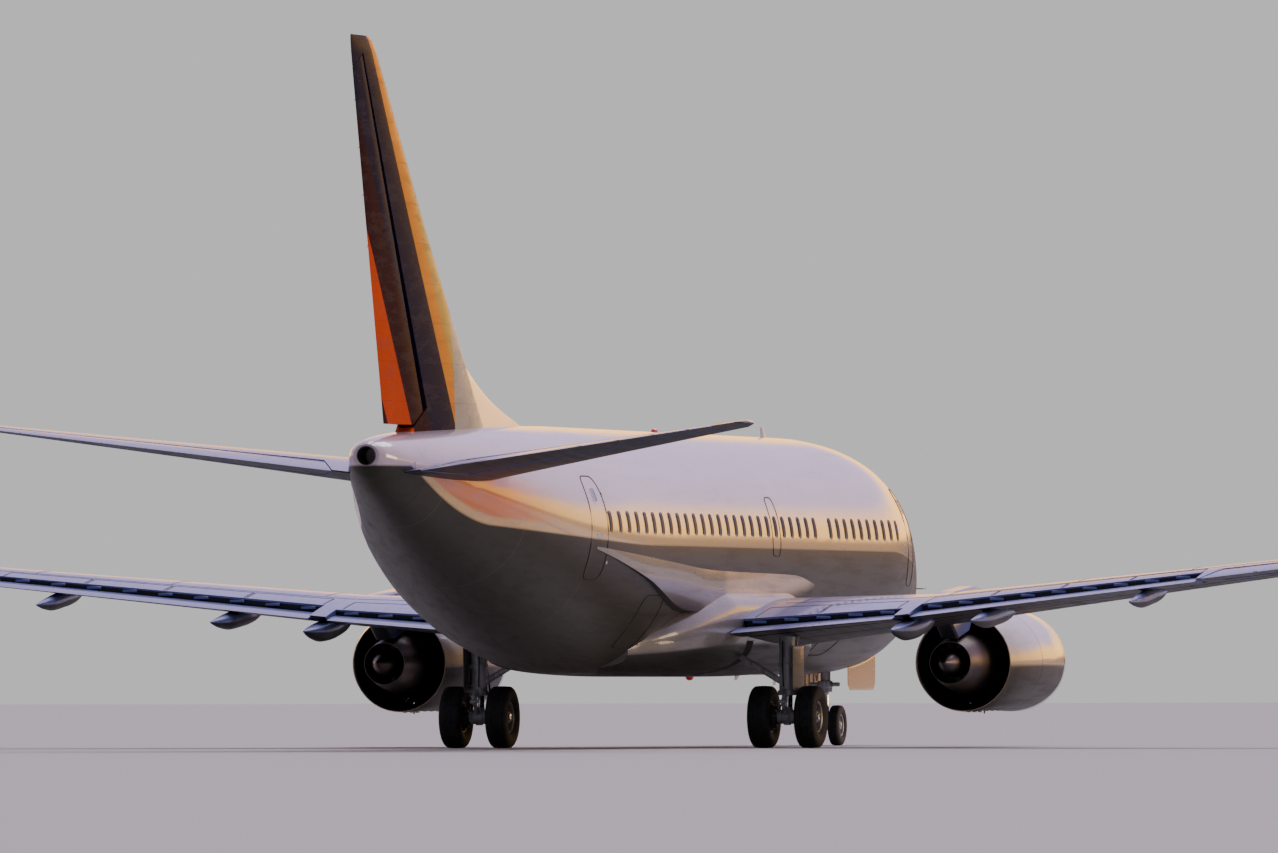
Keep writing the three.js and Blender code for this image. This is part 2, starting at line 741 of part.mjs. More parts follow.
function coreSolid() {
  let core = turned(CORE_BLOCK, 28);
  const reach = DUCT_RADIUS * Math.cos(Math.PI / 28) - SEAT_GAP;
  const vane = box(14, 200, reach - 400, 0, 1950, (reach + 400) / 2);
  for (let i = 0; i < GUIDE_VANES; i++) core = core.add(vane.rotate([0, (i * 360) / GUIDE_VANES, 0]));
  return core;
}

// The bifurcation that carries the core cowl under the pylon.
const SPINE = { half: 60, from: 250, to: 1250 };

const PYLON_OUTLINE = [
  [2500, 1020],
  [1500, 1150],
  [200, 1230],
  [-1600, 1100],
  [-1750, 900],
  [-900, 420],
  [-200, 540],
  [150, 870],
  [1100, 960],
];
const PYLON_HALF = 150;

function pylonSolid() {
  const shape = new THREE.Shape(PYLON_OUTLINE.map(([y, z]) => new THREE.Vector2(y, z)));
  const geometry = new THREE.ExtrudeGeometry(shape, {
    depth: PYLON_HALF * 2 - 60,
    bevelEnabled: true,
    bevelSize: 30,
    bevelThickness: 30,
    bevelSegments: 1,
  });
  geometry.translate(0, 0, -PYLON_HALF + 30);
  geometry.applyMatrix4(
    new THREE.Matrix4().makeBasis(
      new THREE.Vector3(0, 1, 0),
      new THREE.Vector3(0, 0, 1),
      new THREE.Vector3(1, 0, 0),
    ),
  );
  const made = solidOf(geometry);
  return made.volume() > 0 ? made : mirrored(made);
}

function addEngines(wing) {
  const at = [ENGINE_OFFSET, station(ENGINE.s), ENGINE.z];
  const lip = flattened(turned(INLET_LIP));
  const cowl = flattened(turned(FAN_COWL));
  const sleeve = flattened(turned(SLEEVE));
  const core = turned(CORE_COWL);
  const nacelle = joined(lip, cowl, sleeve, core).translate(at);
  const gaps = joined(
    thickened(nacelle),
    thickened(wing),
    turned([[0, 3300], [770, 3300], [780, 0], [0, 0]]).translate(at),
  );
  const pylon = largestOf(pylonSolid().translate(at).subtract(gaps));
  const parts = {
    inlet_lip: [lip, "bareMetal"],
    fan_cowl: [cowl, "white"],
    reverser_sleeve: [sleeve, "white"],
    core_cowl: [core, "hotMetal"],
    engine_core: [coreSolid().add(turned(PLUG, 20)), "hotMetal"],
    fan: [fanSolid(), "titanium"],
  };
  for (const [side, turn] of [["right", (s) => s], ["left", mirrored]]) {
    for (const [name, [solid, colour]] of Object.entries(parts))
      add(`${name}_${side}`, turn(solid.translate(at)), colour);
    add(`pylon_${side}`, turn(pylon), "grey");
  }
}

// Wheels: tyre radius and width, rim radius, distance between twins, axle radius
const MAIN_WHEEL = { radius: 508, width: 368, rim: 255, twin: 790, axle: 70 };
const NOSE_WHEEL = { radius: 343, width: 197, rim: 190, twin: 410, axle: 38 };
const TYRE_SIDES = 32;
const AXLE_SIDES = 24;
const AXLE_GAP = 0.7; // keeps the facets of axle and bore apart as they turn

// Turns a solid made about the fore-and-aft axis to lie across the aircraft.
const crosswise = (solid) => solid.rotate([0, 0, 90]);

// The tyre stands on a flat of its tread, so its corners lie a little outside its radius.
function tyreSolid({ radius, width, rim }) {
  const w = width / 2;
  const crown = radius / Math.cos(Math.PI / TYRE_SIDES);
  return crosswise(
    turned(
      [
        [rim + SEAT_GAP, -w * 0.72],
        [crown * 0.72, -w],
        [crown * 0.92, -w * 0.9],
        [crown, -w * 0.5],
        [crown, w * 0.5],
        [crown * 0.92, w * 0.9],
        [crown * 0.72, w],
        [rim + SEAT_GAP, w * 0.72],
      ],
      TYRE_SIDES,
    ).rotate([0, 180 / TYRE_SIDES, 0]),
  );
}

function hubSolid({ width, rim, axle }) {
  const w = width / 2;
  const bore = axle + AXLE_GAP;
  return crosswise(
    turned(
      [
        [bore, -w * 0.62],
        [rim * 0.5, -w * 0.62],
        [rim * 0.86, -w * 0.25],
        [rim, -w * 0.72],
        [rim, w * 0.72],
        [rim * 0.86, w * 0.25],
        [rim * 0.5, w * 0.62],
        [bore, w * 0.62],
      ],
      TYRE_SIDES,
    ).rotate([0, 180 / TYRE_SIDES, 0]),
  );
}

function axleBar({ twin, width, axle }, extra) {
  const end = twin / 2 + width * 0.31 + extra;
  return crosswise(turned([[0, -end], [axle, -end], [axle, end], [0, end]], AXLE_SIDES));
}

function addWheels(prefix, wheel, x, y) {
  for (const [place, side] of [["outer", 1], ["inner", -1]]) {
    const at = [x + side * (wheel.twin / 2) * Math.sign(x || 1), y, wheel.radius];
    add(`${prefix}_tyre_${place}`, tyreSolid(wheel).translate(at), "rubber");
    add(`${prefix}_hub_${place}`, hubSolid(wheel).translate(at), "rim");
  }
}

// Main leg: strut, sliding tube, axle, drag stay, side stay and torque links.
function mainLeg() {
  const { radius } = MAIN_WHEEL;
  const axle = axleBar(MAIN_WHEEL, 30).translate([0, 0, radius]);
  const strut = bar([0, 0, 880], [0, 0, 2000], 135, 20);
  const collar = bar([0, 0, 860], [0, 0, 940], 160, 20);
  const tube = bar([0, 0, radius], [0, 0, 900], 88, 20);
  const yoke = bar([-150, 0, radius], [150, 0, radius], 115, 20);
  const jackPad = bar([0, 0, radius - 135], [0, 0, radius], 60, 16);
  const sideStay = bar([-60, 0, 1060], [-1150, 0, 1700], 52, 12);
  const stayFoot = bar([-1150, 0, 1640], [-1150, 0, 1900], 70, 12);
  const dragStay = bar([0, 60, 1120], [0, 620, 1900], 48, 12);
  const linkTop = bar([0, -90, 960], [0, -330, 760], 38, 8, 26);
  const linkLow = bar([0, -330, 760], [0, -60, radius + 30], 26, 8, 38);
  return joined(axle, strut, collar, tube, yoke, jackPad, sideStay, stayFoot, dragStay, linkTop, linkLow);
}

function addMainGear(wing) {
  const x = TRACK / 2;
  const y = station(MAIN_GEAR_STATION);
  const above = joined(
    thickened(wing),
    evened(thickened(bellyFairing)),
    evened(thickened(cabinTube)),
  );
  const leg = largestOf(mainLeg().translate([x, y, 0]).subtract(above));
  const door = box(30, 700, 760, x + 175, y + 20, 1290).subtract(above);
  for (const [side, turn, sign] of [["right", (s) => s, 1], ["left", mirrored, -1]]) {
    add(`main_gear_leg_${side}`, turn(leg), "gearSteel");
    add(`main_gear_door_${side}`, turn(largestOf(door.subtract(thickened(leg)))), "belly");
    addWheels(`main_${side}`, MAIN_WHEEL, sign * x, y);
  }
}

const NOSE_LEG = { split: 980, top: NOSE_WELL.roof, radius: 85, slider: 60 };
const NOSE_DOOR = { x: 445, width: 26, length: 1850, bottom: 940 };

function addNoseGear() {
  const y = station(NOSE_GEAR_STATION);
  const { split, top, radius, slider } = NOSE_LEG;
  const strut = bar([0, 0, split], [0, 0, top - SEAT_GAP], radius, 20);
  const collar = bar([0, 0, split], [0, 0, split + 120], radius + 35, 20);
  const dragStay = bar([0, 50, split + 180], [0, 620, top - 120], 34, 12);
  const stayFoot = bar([-200, 620, top - 120], [200, 620, top - 120], 40, 12);
  const trunnion = bar([-NOSE_WELL.width / 2 + SEAT_GAP, 0, top - 200], [NOSE_WELL.width / 2 - SEAT_GAP, 0, top - 200], 50, 16);
  const leg = joined(strut, collar, dragStay, stayFoot, trunnion);
  add("nose_gear_leg", leg.translate([0, y, 0]), "gearSteel");
  const wheel = NOSE_WHEEL.radius;
  const axle = axleBar(NOSE_WHEEL, 14).translate([0, 0, wheel]);
  const tube = bar([0, 0, wheel], [0, 0, split - SEAT_GAP], slider, 20);
  const turner = bar([0, 0, split - 70], [0, 0, split - SEAT_GAP], radius + 30, 20);
  const yoke = bar([-70, 0, wheel], [70, 0, wheel], 75, 20);
  const jackPad = bar([0, 0, wheel - 85], [0, 0, wheel], 40, 16);
  const towLug = box(110, 60, 90, 0, 85, wheel + 10);
  const linkTop = bar([0, -70, split - 60], [0, -230, 640], 26, 8, 20);
  const linkLow = bar([0, -230, 640], [0, -40, wheel + 30], 20, 8, 26);
  const fork = joined(axle, tube, turner, yoke, jackPad, towLug, linkTop, linkLow);
  add("nose_gear_fork", fork.translate([0, y, 0]), "gearSteel");
  addWheels("nose", NOSE_WHEEL, 0, y);
  const { x, width, length, bottom } = NOSE_DOOR;
  const middle = station((NOSE_WELL.from + NOSE_WELL.to) / 2);
  const door = box(width, length, 1500, x + width / 2, middle, bottom + 750).subtract(wholeBody);
  const panel = door.decompose().reduce((a, b) => (a.boundingBox().min[2] < b.boundingBox().min[2] ? a : b));
  add("nose_gear_door_right", panel, "white");
  add("nose_gear_door_left", mirrored(panel), "white");
}

addFuselage();
add("belly_fairing", bellyFairing, "belly");
const wing = addWings();
addFin();
addTailplane();
addEngines(wing);
addMainGear(wing);
addNoseGear();

export default aircraft;
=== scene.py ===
"""Looks of a twin-engined narrow-body airliner that stands on its wheels.

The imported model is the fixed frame. Every piece is in metres, +X is the aircraft's right, +Y is
forward and +Z is up. A station is the distance aft of the nose tip.
"""

import json
import logging
import math
from dataclasses import dataclass, field
from enum import Enum
from typing import Callable, Iterable, Sequence

import bpy
from mathutils import Matrix, Vector

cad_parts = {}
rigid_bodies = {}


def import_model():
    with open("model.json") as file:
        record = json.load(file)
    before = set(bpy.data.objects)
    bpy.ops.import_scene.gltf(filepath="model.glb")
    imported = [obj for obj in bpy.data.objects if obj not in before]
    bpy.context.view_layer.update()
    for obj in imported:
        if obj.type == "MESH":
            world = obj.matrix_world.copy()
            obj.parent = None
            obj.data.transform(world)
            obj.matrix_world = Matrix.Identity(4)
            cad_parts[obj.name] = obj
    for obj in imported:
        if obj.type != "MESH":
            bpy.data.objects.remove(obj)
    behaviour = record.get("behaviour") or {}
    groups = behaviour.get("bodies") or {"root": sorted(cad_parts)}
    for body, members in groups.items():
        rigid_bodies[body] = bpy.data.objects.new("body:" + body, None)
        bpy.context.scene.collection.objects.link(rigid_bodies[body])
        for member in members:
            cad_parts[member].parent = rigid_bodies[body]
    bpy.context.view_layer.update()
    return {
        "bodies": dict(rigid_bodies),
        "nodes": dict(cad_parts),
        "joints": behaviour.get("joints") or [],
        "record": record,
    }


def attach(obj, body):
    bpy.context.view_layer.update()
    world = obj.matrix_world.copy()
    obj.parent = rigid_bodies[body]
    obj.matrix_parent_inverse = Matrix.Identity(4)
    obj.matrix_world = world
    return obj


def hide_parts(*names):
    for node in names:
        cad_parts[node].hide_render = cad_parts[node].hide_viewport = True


log = logging.getLogger("airliner")

Pair = tuple[float, float]
Triple = tuple[float, float, float]
Colour = tuple[float, float, float]
Piece = bpy.types.Object
Mover = Callable[[Vector], Sequence[float]]
Skin = Callable[[float, float], Sequence[float]]
Lay = Callable[[float, float, float], Sequence[float]]
Line = Callable[[float], float]
Table = tuple[tuple[float, ...], ...]

HALF_LENGTH = 16.7
HALF_SPAN = 14.44
TAU = 2 * math.pi


def forward_of(station: float) -> float:
    """Turns a station into a place along Y."""
    return HALF_LENGTH - station


def lerp(a: float, b: float, t: float) -> float:
    """Mixes two numbers."""
    return a + (b - a) * t


def clamped(value: float, low: float = 0.0, high: float = 1.0) -> float:
    """Keeps a number between two others."""
    return max(low, min(high, value))


class Curve:
    """A smooth line through a table of points that never swings past them."""

    def __init__(self, xs: Sequence[float], ys: Sequence[float]) -> None:
        """Works out the slope at every point.

        Args:
            xs: Rising places of the points.
            ys: Values at the points.
        """
        self.xs = list(xs)
        self.ys = list(ys)
        steps = [b - a for a, b in zip(self.xs, self.xs[1:])]
        rises = [(b - a) / h for a, b, h in zip(self.ys, self.ys[1:], steps)]
        self.slopes = [rises[0]]
        for left, right in zip(rises, rises[1:]):
            together = left * right
            self.slopes.append(2 * together / (left + right) if together > 0 else 0.0)
        self.slopes.append(rises[-1])

    def __call__(self, x: float) -> float:
        """Value of the line at a place.

        Args:
            x: The place.

        Returns:
            The value there.
        """
        x = clamped(x, self.xs[0], self.xs[-1])
        i = 0
        while i < len(self.xs) - 2 and x > self.xs[i + 1]:
            i += 1
        h = self.xs[i + 1] - self.xs[i]
        t = (x - self.xs[i]) / h
        a, b = self.ys[i], self.ys[i + 1]
        m, n = self.slopes[i] * h, self.slopes[i + 1] * h
        return (
            a * (2 * t**3 - 3 * t**2 + 1)
            + m * (t**3 - 2 * t**2 + t)
            + b * (3 * t**2 - 2 * t**3)
            + n * (t**3 - t**2)
        )


def linear(table: Sequence[Sequence[float]], key: float) -> list[float]:
    """Reads a table of rows by its first column, with straight lines between the rows.

    Args:
        table: Rows of numbers, with the key first.
        key: Where to read.

    Returns:
        The row's other numbers there.
    """
    i = 0
    while i < len(table) - 2 and key > table[i + 1][0]:
        i += 1
    low, high = table[i], table[i + 1]
    t = (key - low[0]) / (high[0] - low[0])
    return [lerp(a, b, t) for a, b in zip(low, high)]


def spread(low: float, high: float, count: int) -> list[float]:
    """Evenly spaced numbers, both ends among them."""
    return [lerp(low, high, k / count) for k in range(count + 1)]


def step_of(p: Vector, segments: int) -> float:
    """Angle of a point about the upright axis, at the nearest of even steps."""
    return round(math.atan2(p.y, p.x) / TAU * segments) / segments * TAU


def dimmed(colour: Colour, share: float) -> Colour:
    """A colour at a share of its strength."""
    return tuple(c * share for c in colour)


class Bench:
    """Modelling operators, each run on a clean selection."""

    @staticmethod
    def clear() -> None:
        """Leaves edit mode and selects nothing."""
        if bpy.context.object is not None and bpy.context.object.mode != "OBJECT":
            bpy.ops.object.mode_set(mode="OBJECT")
        bpy.ops.object.select_all(action="DESELECT")

    @staticmethod
    def take(*pieces: Piece) -> Piece:
        """Selects pieces and makes the first one active.

        Args:
            pieces: The pieces.

        Returns:
            The first piece.
        """
        Bench.clear()
        for piece in pieces:
            piece.select_set(True)
        bpy.context.view_layer.objects.active = pieces[0]
        return pieces[0]

    @staticmethod
    def called(name: str) -> Piece:
        """Names the piece that was just added, with its mesh.

        Args:
            name: Its new name.

        Returns:
            The piece.
        """
        piece = bpy.context.object
        piece.name = name
        piece.data.name = name
        return piece

    @staticmethod
    def placed(piece: Piece, place: Mover) -> Piece:
        """Moves every vertex to where a function puts it from its old place.

        Args:
            piece: The piece to reshape.
            place: Gives the new place for an old one.

        Returns:
            The piece.
        """
        for vertex in piece.data.vertices:
            vertex.co = place(vertex.co.copy())
        piece.data.update()
        return piece

    @staticmethod
    def sound(piece: Piece, fill: bool = False, gap: float = 1e-5) -> Piece:
        """Merges doubles, closes holes if asked and turns every face outwards.

        Args:
            piece: The piece to mend.
            fill: Whether holes are closed.
            gap: How near points have to be to become one.

        Returns:
            The piece.
        """
        Bench.take(piece)
        bpy.ops.object.mode_set(mode="EDIT")
        bpy.ops.mesh.select_all(action="SELECT")
        bpy.ops.mesh.remove_doubles(threshold=gap)
        if fill:
            bpy.ops.mesh.select_all(action="SELECT")
            bpy.ops.mesh.fill_holes(sides=0)
        bpy.ops.mesh.select_all(action="SELECT")
        bpy.ops.mesh.normals_make_consistent(inside=False)
        bpy.ops.object.mode_set(mode="OBJECT")
        return piece

    @staticmethod
    def modified(piece: Piece, kind: str, **settings: object) -> Piece:
        """Adds a modifier, sets it up and applies it.

        Args:
            piece: The piece.
            kind: Blender's word for the modifier.
            settings: Its settings by name.

        Returns:
            The piece.
        """
        Bench.take(piece)
        bpy.ops.object.modifier_add(type=kind)
        modifier = piece.modifiers[-1]
        for key, value in settings.items():
            setattr(modifier, key, value)
        bpy.ops.object.modifier_apply(modifier=modifier.name)
        return piece

    @staticmethod
    def rounded(piece: Piece, width: float, segments: int = 2, angle: float = 35) -> Piece:
        """Bevels the sharp edges of a piece."""
        limit = {"limit_method": "ANGLE", "angle_limit": math.radians(angle)}
        return Bench.modified(piece, "BEVEL", width=width, segments=segments, **limit)

    @staticmethod
    def smoothed(piece: Piece, angle: float = 32) -> Piece:
        """Shades a piece smoothly except over its sharp edges.

        Args:
            piece: The piece.
            angle: Edges sharper than this many degrees stay sharp.

        Returns:
            The piece.
        """
        Bench.take(piece)
        bpy.ops.object.shade_smooth_by_angle(angle=math.radians(angle))
        return piece

    @staticmethod
    def joined(pieces: Sequence[Piece], name: str, angle: float = 0.0) -> Piece:
        """Makes one piece of several, smoothed up to an angle if one is given.

        Args:
            pieces: The pieces to join.
            name: Name of the whole.
            angle: Smoothing angle in degrees, or nought.

        Returns:
            The whole.
        """
        Bench.take(*pieces)
        if len(pieces) > 1:
            bpy.ops.object.join()
        made = Bench.called(name)
        return Bench.smoothed(made, angle) if angle else made

    @staticmethod
    def cut(piece: Piece, *cutters: Piece) -> Piece:
        """Takes closed shapes out of a piece and removes them.

        Args:
            piece: The piece to cut.
            cutters: The closed shapes.

        Returns:
            The piece.
        """
        for cutter in cutters:
            Bench.modified(piece, "BOOLEAN", object=cutter, operation="DIFFERENCE", solver="EXACT")
            bpy.data.objects.remove(cutter)
        return piece

    @staticmethod
    def copied(piece: Piece, name: str, place: Mover) -> Piece:
        """Copies a piece with its own mesh and moves the copy's vertices.

        Args:
            piece: The piece to copy.
            name: Name of the copy.
            place: Gives the new place for an old one.

        Returns:
            The copy.
        """
        Bench.take(piece)
        bpy.ops.object.duplicate(linked=False)
        return Bench.placed(Bench.called(name), place)

    @staticmethod
    def mirrored(piece: Piece, name: str) -> Piece:
        """Copies a piece of the right side to the left side.

        Args:
            piece: The right piece.
            name: Name of the left one.

        Returns:
            The left piece.
        """
        copy = Bench.copied(piece, name, lambda p: (-p.x, p.y, p.z))
        Bench.take(copy)
        bpy.ops.object.mode_set(mode="EDIT")
        bpy.ops.mesh.select_all(action="SELECT")
        bpy.ops.mesh.flip_normals()
        bpy.ops.object.mode_set(mode="OBJECT")
        return copy


class Shapes:
    """Starting shapes, each grown from a primitive by placing its vertices."""

    @staticmethod
    def tube(name: str, columns: int, rows: Sequence[float], surface: Skin) -> Piece:
        """A skin that closes on itself, with flat ends.

        Args:
            name: Name of the piece.
            columns: Faces around.
            rows: Places along, one for each ring of points.
            surface: Gives a point from its share around and its place along.

        Returns:
            The piece.
        """
        Bench.clear()
        last = len(rows) - 1
        bpy.ops.mesh.primitive_grid_add(x_subdivisions=columns, y_subdivisions=last, size=1)
        piece = Bench.called(name)

        def place(p: Vector) -> Sequence[float]:
            """Puts a grid point on the skin."""
            column = round((p.x + 0.5) * columns) % columns
            return surface(column / columns, rows[round((p.y + 0.5) * last)])

        return Bench.sound(Bench.placed(piece, place), fill=True)

    @staticmethod
    def sheet(name: str, columns: int, rows: int, surface: Skin, thickness: float) -> Piece:
        """An open skin from 0 to 1 both ways, thickened evenly about its face.

        Args:
            name: Its name.
            columns: Faces across.
            rows: Faces along.
            surface: Gives the point for two shares.
            thickness: How thick it is.

        Returns:
            The skin.
        """
        Bench.clear()
        bpy.ops.mesh.primitive_grid_add(x_subdivisions=columns, y_subdivisions=rows, size=1)
        piece = Bench.placed(Bench.called(name), lambda p: surface(p.x + 0.5, p.y + 0.5))
        Bench.modified(piece, "SOLIDIFY", thickness=thickness, offset=0)
        return Bench.sound(piece)

    @staticmethod
    def ring(name: str, profile: Sequence[Pair], segments: int, place: Lay) -> Piece:
        """A closed profile turned about an axis that it doesn't touch.

        Args:
            name: Name of the piece.
            profile: Points as radius and distance along the axis, right round the profile.
            segments: Faces around the axis.
            place: Gives a point from its angle, radius and distance along the axis.

        Returns:
            The piece.
        """
        Bench.clear()
        count = len(profile)
        bpy.ops.mesh.primitive_torus_add(
            major_segments=segments, minor_segments=count, major_radius=1, minor_radius=0.25
        )

        def put(p: Vector) -> Sequence[float]:
            """Puts a point of the torus on the turned profile."""
            corner = round(math.atan2(p.z, math.hypot(p.x, p.y) - 1) / TAU * count) % count
            return place(step_of(p, segments), *profile[corner])

        return Bench.sound(Bench.placed(Bench.called(name), put))

    @staticmethod
    def turned(name: str, profile: Sequence[Pair], segments: int, place: Lay) -> Piece:
        """A profile turned about an axis that it starts and ends on.

        Args:
            name: Its name.
            profile: Rows of radius and place along.
            segments: Faces round.
            place: Gives the point for angle, radius and place along.

        Returns:
            The turned piece.
        """
        Bench.clear()
        last = len(profile) - 1
        bpy.ops.mesh.primitive_uv_sphere_add(segments=segments, ring_count=last, radius=1)

        def put(p: Vector) -> Sequence[float]:
            """Puts a point of the sphere on the turned profile."""
            row = round(math.acos(clamped(p.z, -1, 1)) / math.pi * last)
            return place(step_of(p, segments), *profile[row])

        return Bench.sound(Bench.placed(Bench.called(name), put))

    @staticmethod
    def bar(
        start: Triple,
        end: Triple,
        radius: float,
        tip: float | None = None,
        sides: int = 24,
        bevel: float = 0.0,
    ) -> Piece:
        """A round bar between two points, with softened ends; its tip can have a radius of its own.

        Args:
            start: Middle of its first end.
            end: Middle of its other end.
            radius: Radius at the first end.
            tip: Radius at the other end, if it differs.
            sides: Faces round.
            bevel: How far its ends are softened.

        Returns:
            The bar.
        """
        Bench.clear()
        a, b = Vector(start), Vector(end)
        along = b - a
        tip = radius if tip is None else tip
        bpy.ops.mesh.primitive_cone_add(vertices=sides, radius1=radius, radius2=tip, depth=along.length)
        turn = along.to_track_quat("Z", "Y").to_matrix().to_4x4()
        matrix = Matrix.Translation((a + b) / 2) @ turn
        piece = Bench.placed(Bench.called("bar"), lambda p: matrix @ p)
        if bevel:
            Bench.rounded(piece, bevel)
        return Bench.smoothed(piece, 35)

    @staticmethod
    def block(centre: Triple, size: Triple, bevel: float = 0.004) -> Piece:
        """A block with softened edges.

        Args:
            centre: Its middle.
            size: Its three sizes.
            bevel: How far its edges are softened.

        Returns:
            The block.
        """
        Bench.clear()
        bpy.ops.mesh.primitive_cube_add(size=1)
        piece = Bench.called("block")
        Bench.placed(piece, lambda p: [c + v * w for c, v, w in zip(centre, p, size)])
        return Bench.smoothed(Bench.rounded(piece, bevel), 35)

    @staticmethod
    def pipe(points: Sequence[Triple], radius: float) -> Piece:
        """A bent pipe through points, made a mesh with closed ends.

        Args:
            points: Points that it runs through.
            radius: Its radius.

        Returns:
            The pipe.
        """
        Bench.clear()
        bpy.ops.curve.primitive_bezier_curve_add()
        line = bpy.context.object.data
        line.splines.clear()
        spline = line.splines.new("BEZIER")
        spline.bezier_points.add(len(points) - 1)
        for knot, place in zip(spline.bezier_points, points):
            knot.co = place
            knot.handle_left_type = knot.handle_right_type = "AUTO"
        line.dimensions = "3D"
        line.resolution_u = 6
        line.bevel_depth = radius
        line.bevel_resolution = 2
        line.use_fill_caps = True
        Bench.take(bpy.context.object)
        bpy.ops.object.convert(target="MESH")
        return Bench.smoothed(Bench.sound(Bench.called("pipe")), 50)


def refined(profile: Sequence[Pair], corner: float, steps: int = 5) -> list[Pair]:
    """Rounds the corners of a closed profile.

    Args:
        profile: Corner points, right round.
        corner: Longest distance from a corner at which its curve starts.
        steps: Points put on each curve.

    Returns:
        The points of the softened profile.
    """
    points = [Vector(p) for p in profile]
    smooth: list[Pair] = []
    for i, here in enumerate(points):
        before, after = points[i - 1], points[(i + 1) % len(points)]
        enter = here + (before - here) * min(corner / max((before - here).length, 1e-9), 0.48)
        leave = here + (after - here) * min(corner / max((after - here).length, 1e-9), 0.48)
        for k in range(steps):
            t = k / (steps - 1)
            p = enter * (1 - t) ** 2 + here * 2 * t * (1 - t) + leave * t**2
            smooth.append((p.x, p.y))
    return smooth


def oblong(inner: Pair, outer: Pair, corner: float, steps: int = 5) -> list[Pair]:
    """Section of a band with soft corners, between two corners as radius and place along."""
    (a, low), (b, high) = inner, outer
    return refined(((a, low), (b, low), (b, high), (a, high)), corner, steps)


def evened(profile: Sequence[Pair], corner: float, steps: int = 5) -> list[Pair]:
    """Rounds the inner corners of an open profile and keeps its two end points."""
    closed = refined(profile, corner, steps)
    return [tuple(profile[0]), *closed[steps : -steps or None], tuple(profile[-1])]


class Value:
    """A number that varies over a surface, on which sums add Math nodes."""

    def __init__(self, nodes: "Nodes", socket: bpy.types.NodeSocket) -> None:
        """Wraps an output socket."""
        self.nodes = nodes
        self.socket = socket

    def math(self, operation: str, *others: "Value | float") -> "Value":
        """Adds one Math node that starts with this value."""
        return self.nodes.math(operation, self, *others)

    def __add__(self, other: "Value | float") -> "Value":
        """Sum."""
        return self.math("ADD", other)

    __radd__ = __add__

    def __sub__(self, other: "Value | float") -> "Value":
        """Difference."""
        return self.math("SUBTRACT", other)

    def __rsub__(self, other: float) -> "Value":
        """Difference from a plain number."""
        return self.nodes.math("SUBTRACT", other, self)

    def __mul__(self, other: "Value | float") -> "Value":
        """Product."""
        return self.math("MULTIPLY", other)

    __rmul__ = __mul__

    def above(self, low: float, soft: float = 0.0) -> "Value":
        """Rises from nought to one at a number, over a soft width.

        Args:
            low: The number, in the middle of the rise.
            soft: How wide the rise is.

        Returns:
            The share.
        """
        if soft <= 0:
            return self.math("GREATER_THAN", low)
        inputs = {"Value": self, "From Min": low - soft / 2, "From Max": low + soft / 2}
        smooth = {"interpolation_type": "SMOOTHSTEP"}
        return self.nodes.node("ShaderNodeMapRange", smooth, inputs, "Result")

    def every(self, pitch: float, reach: float, start: float = 0.0) -> "Value":
        """One on thin lines that repeat at a pitch.

        Args:
            pitch: Distance from line to line.
            reach: Half a line's width.
            start: Shift of the lines.

        Returns:
            The mask.
        """
        return (self - start).math("WRAP", pitch, 0.0).math("COMPARE", pitch / 2, reach)


class Nodes:
    """Adds the nodes of a material or a sky."""

    def __init__(self, tree: bpy.types.NodeTree) -> None:
        """Takes the tree that the nodes go in."""
        self.tree = tree

    def feed(self, socket: bpy.types.NodeSocket, value: object) -> None:
        """Links a value to a socket, or sets the socket to a number or a colour.

        Args:
            socket: The socket.
            value: What goes into it.
        """
        if isinstance(value, Value):
            self.tree.links.new(value.socket, socket)
        elif socket.type == "RGBA":
            socket.default_value = (*value, 1)
        else:
            socket.default_value = value

    def node(
        self, kind: str, settings: dict[str, object], inputs: dict[str | int, object], output: str | int
    ) -> Value:
        """Adds a node.

        Args:
            kind: Type of the node.
            settings: What is set on the node before its sockets.
            inputs: Numbers, colours or values for its sockets.
            output: Socket that is handed back.

        Returns:
            The node's output.
        """
        made = self.tree.nodes.new(kind)
        for key, value in settings.items():
            setattr(made, key, value)
        for key, value in inputs.items():
            self.feed(made.inputs[key], value)
        return Value(self, made.outputs[output])

    def math(self, operation: str, *numbers: Value | float) -> Value:
        """Adds a Math node."""
        return self.node("ShaderNodeMath", {"operation": operation}, dict(enumerate(numbers)), 0)

    def mixed(self, share: Value | float, first: object, second: object) -> Value:
        """Mixes two colours."""
        return self.node("ShaderNodeMix", {"data_type": "RGBA"}, {0: share, 6: first, 7: second}, 2)

    def ramp(self, place: Value, *stops: tuple[float, Colour]) -> Value:
        """Colours by a number.

        Args:
            place: The number, from nought to one.
            stops: Places of the colours, each with its colour.

        Returns:
            The colour.
        """
        made = self.node("ShaderNodeValToRGB", {}, {0: place}, 0)
        line = made.socket.node.color_ramp.elements
        while len(line) < len(stops):
            line.new(0.5)
        for knot, (at, colour) in zip(line, stops):
            knot.position, knot.color = at, (*colour, 1)
        return made


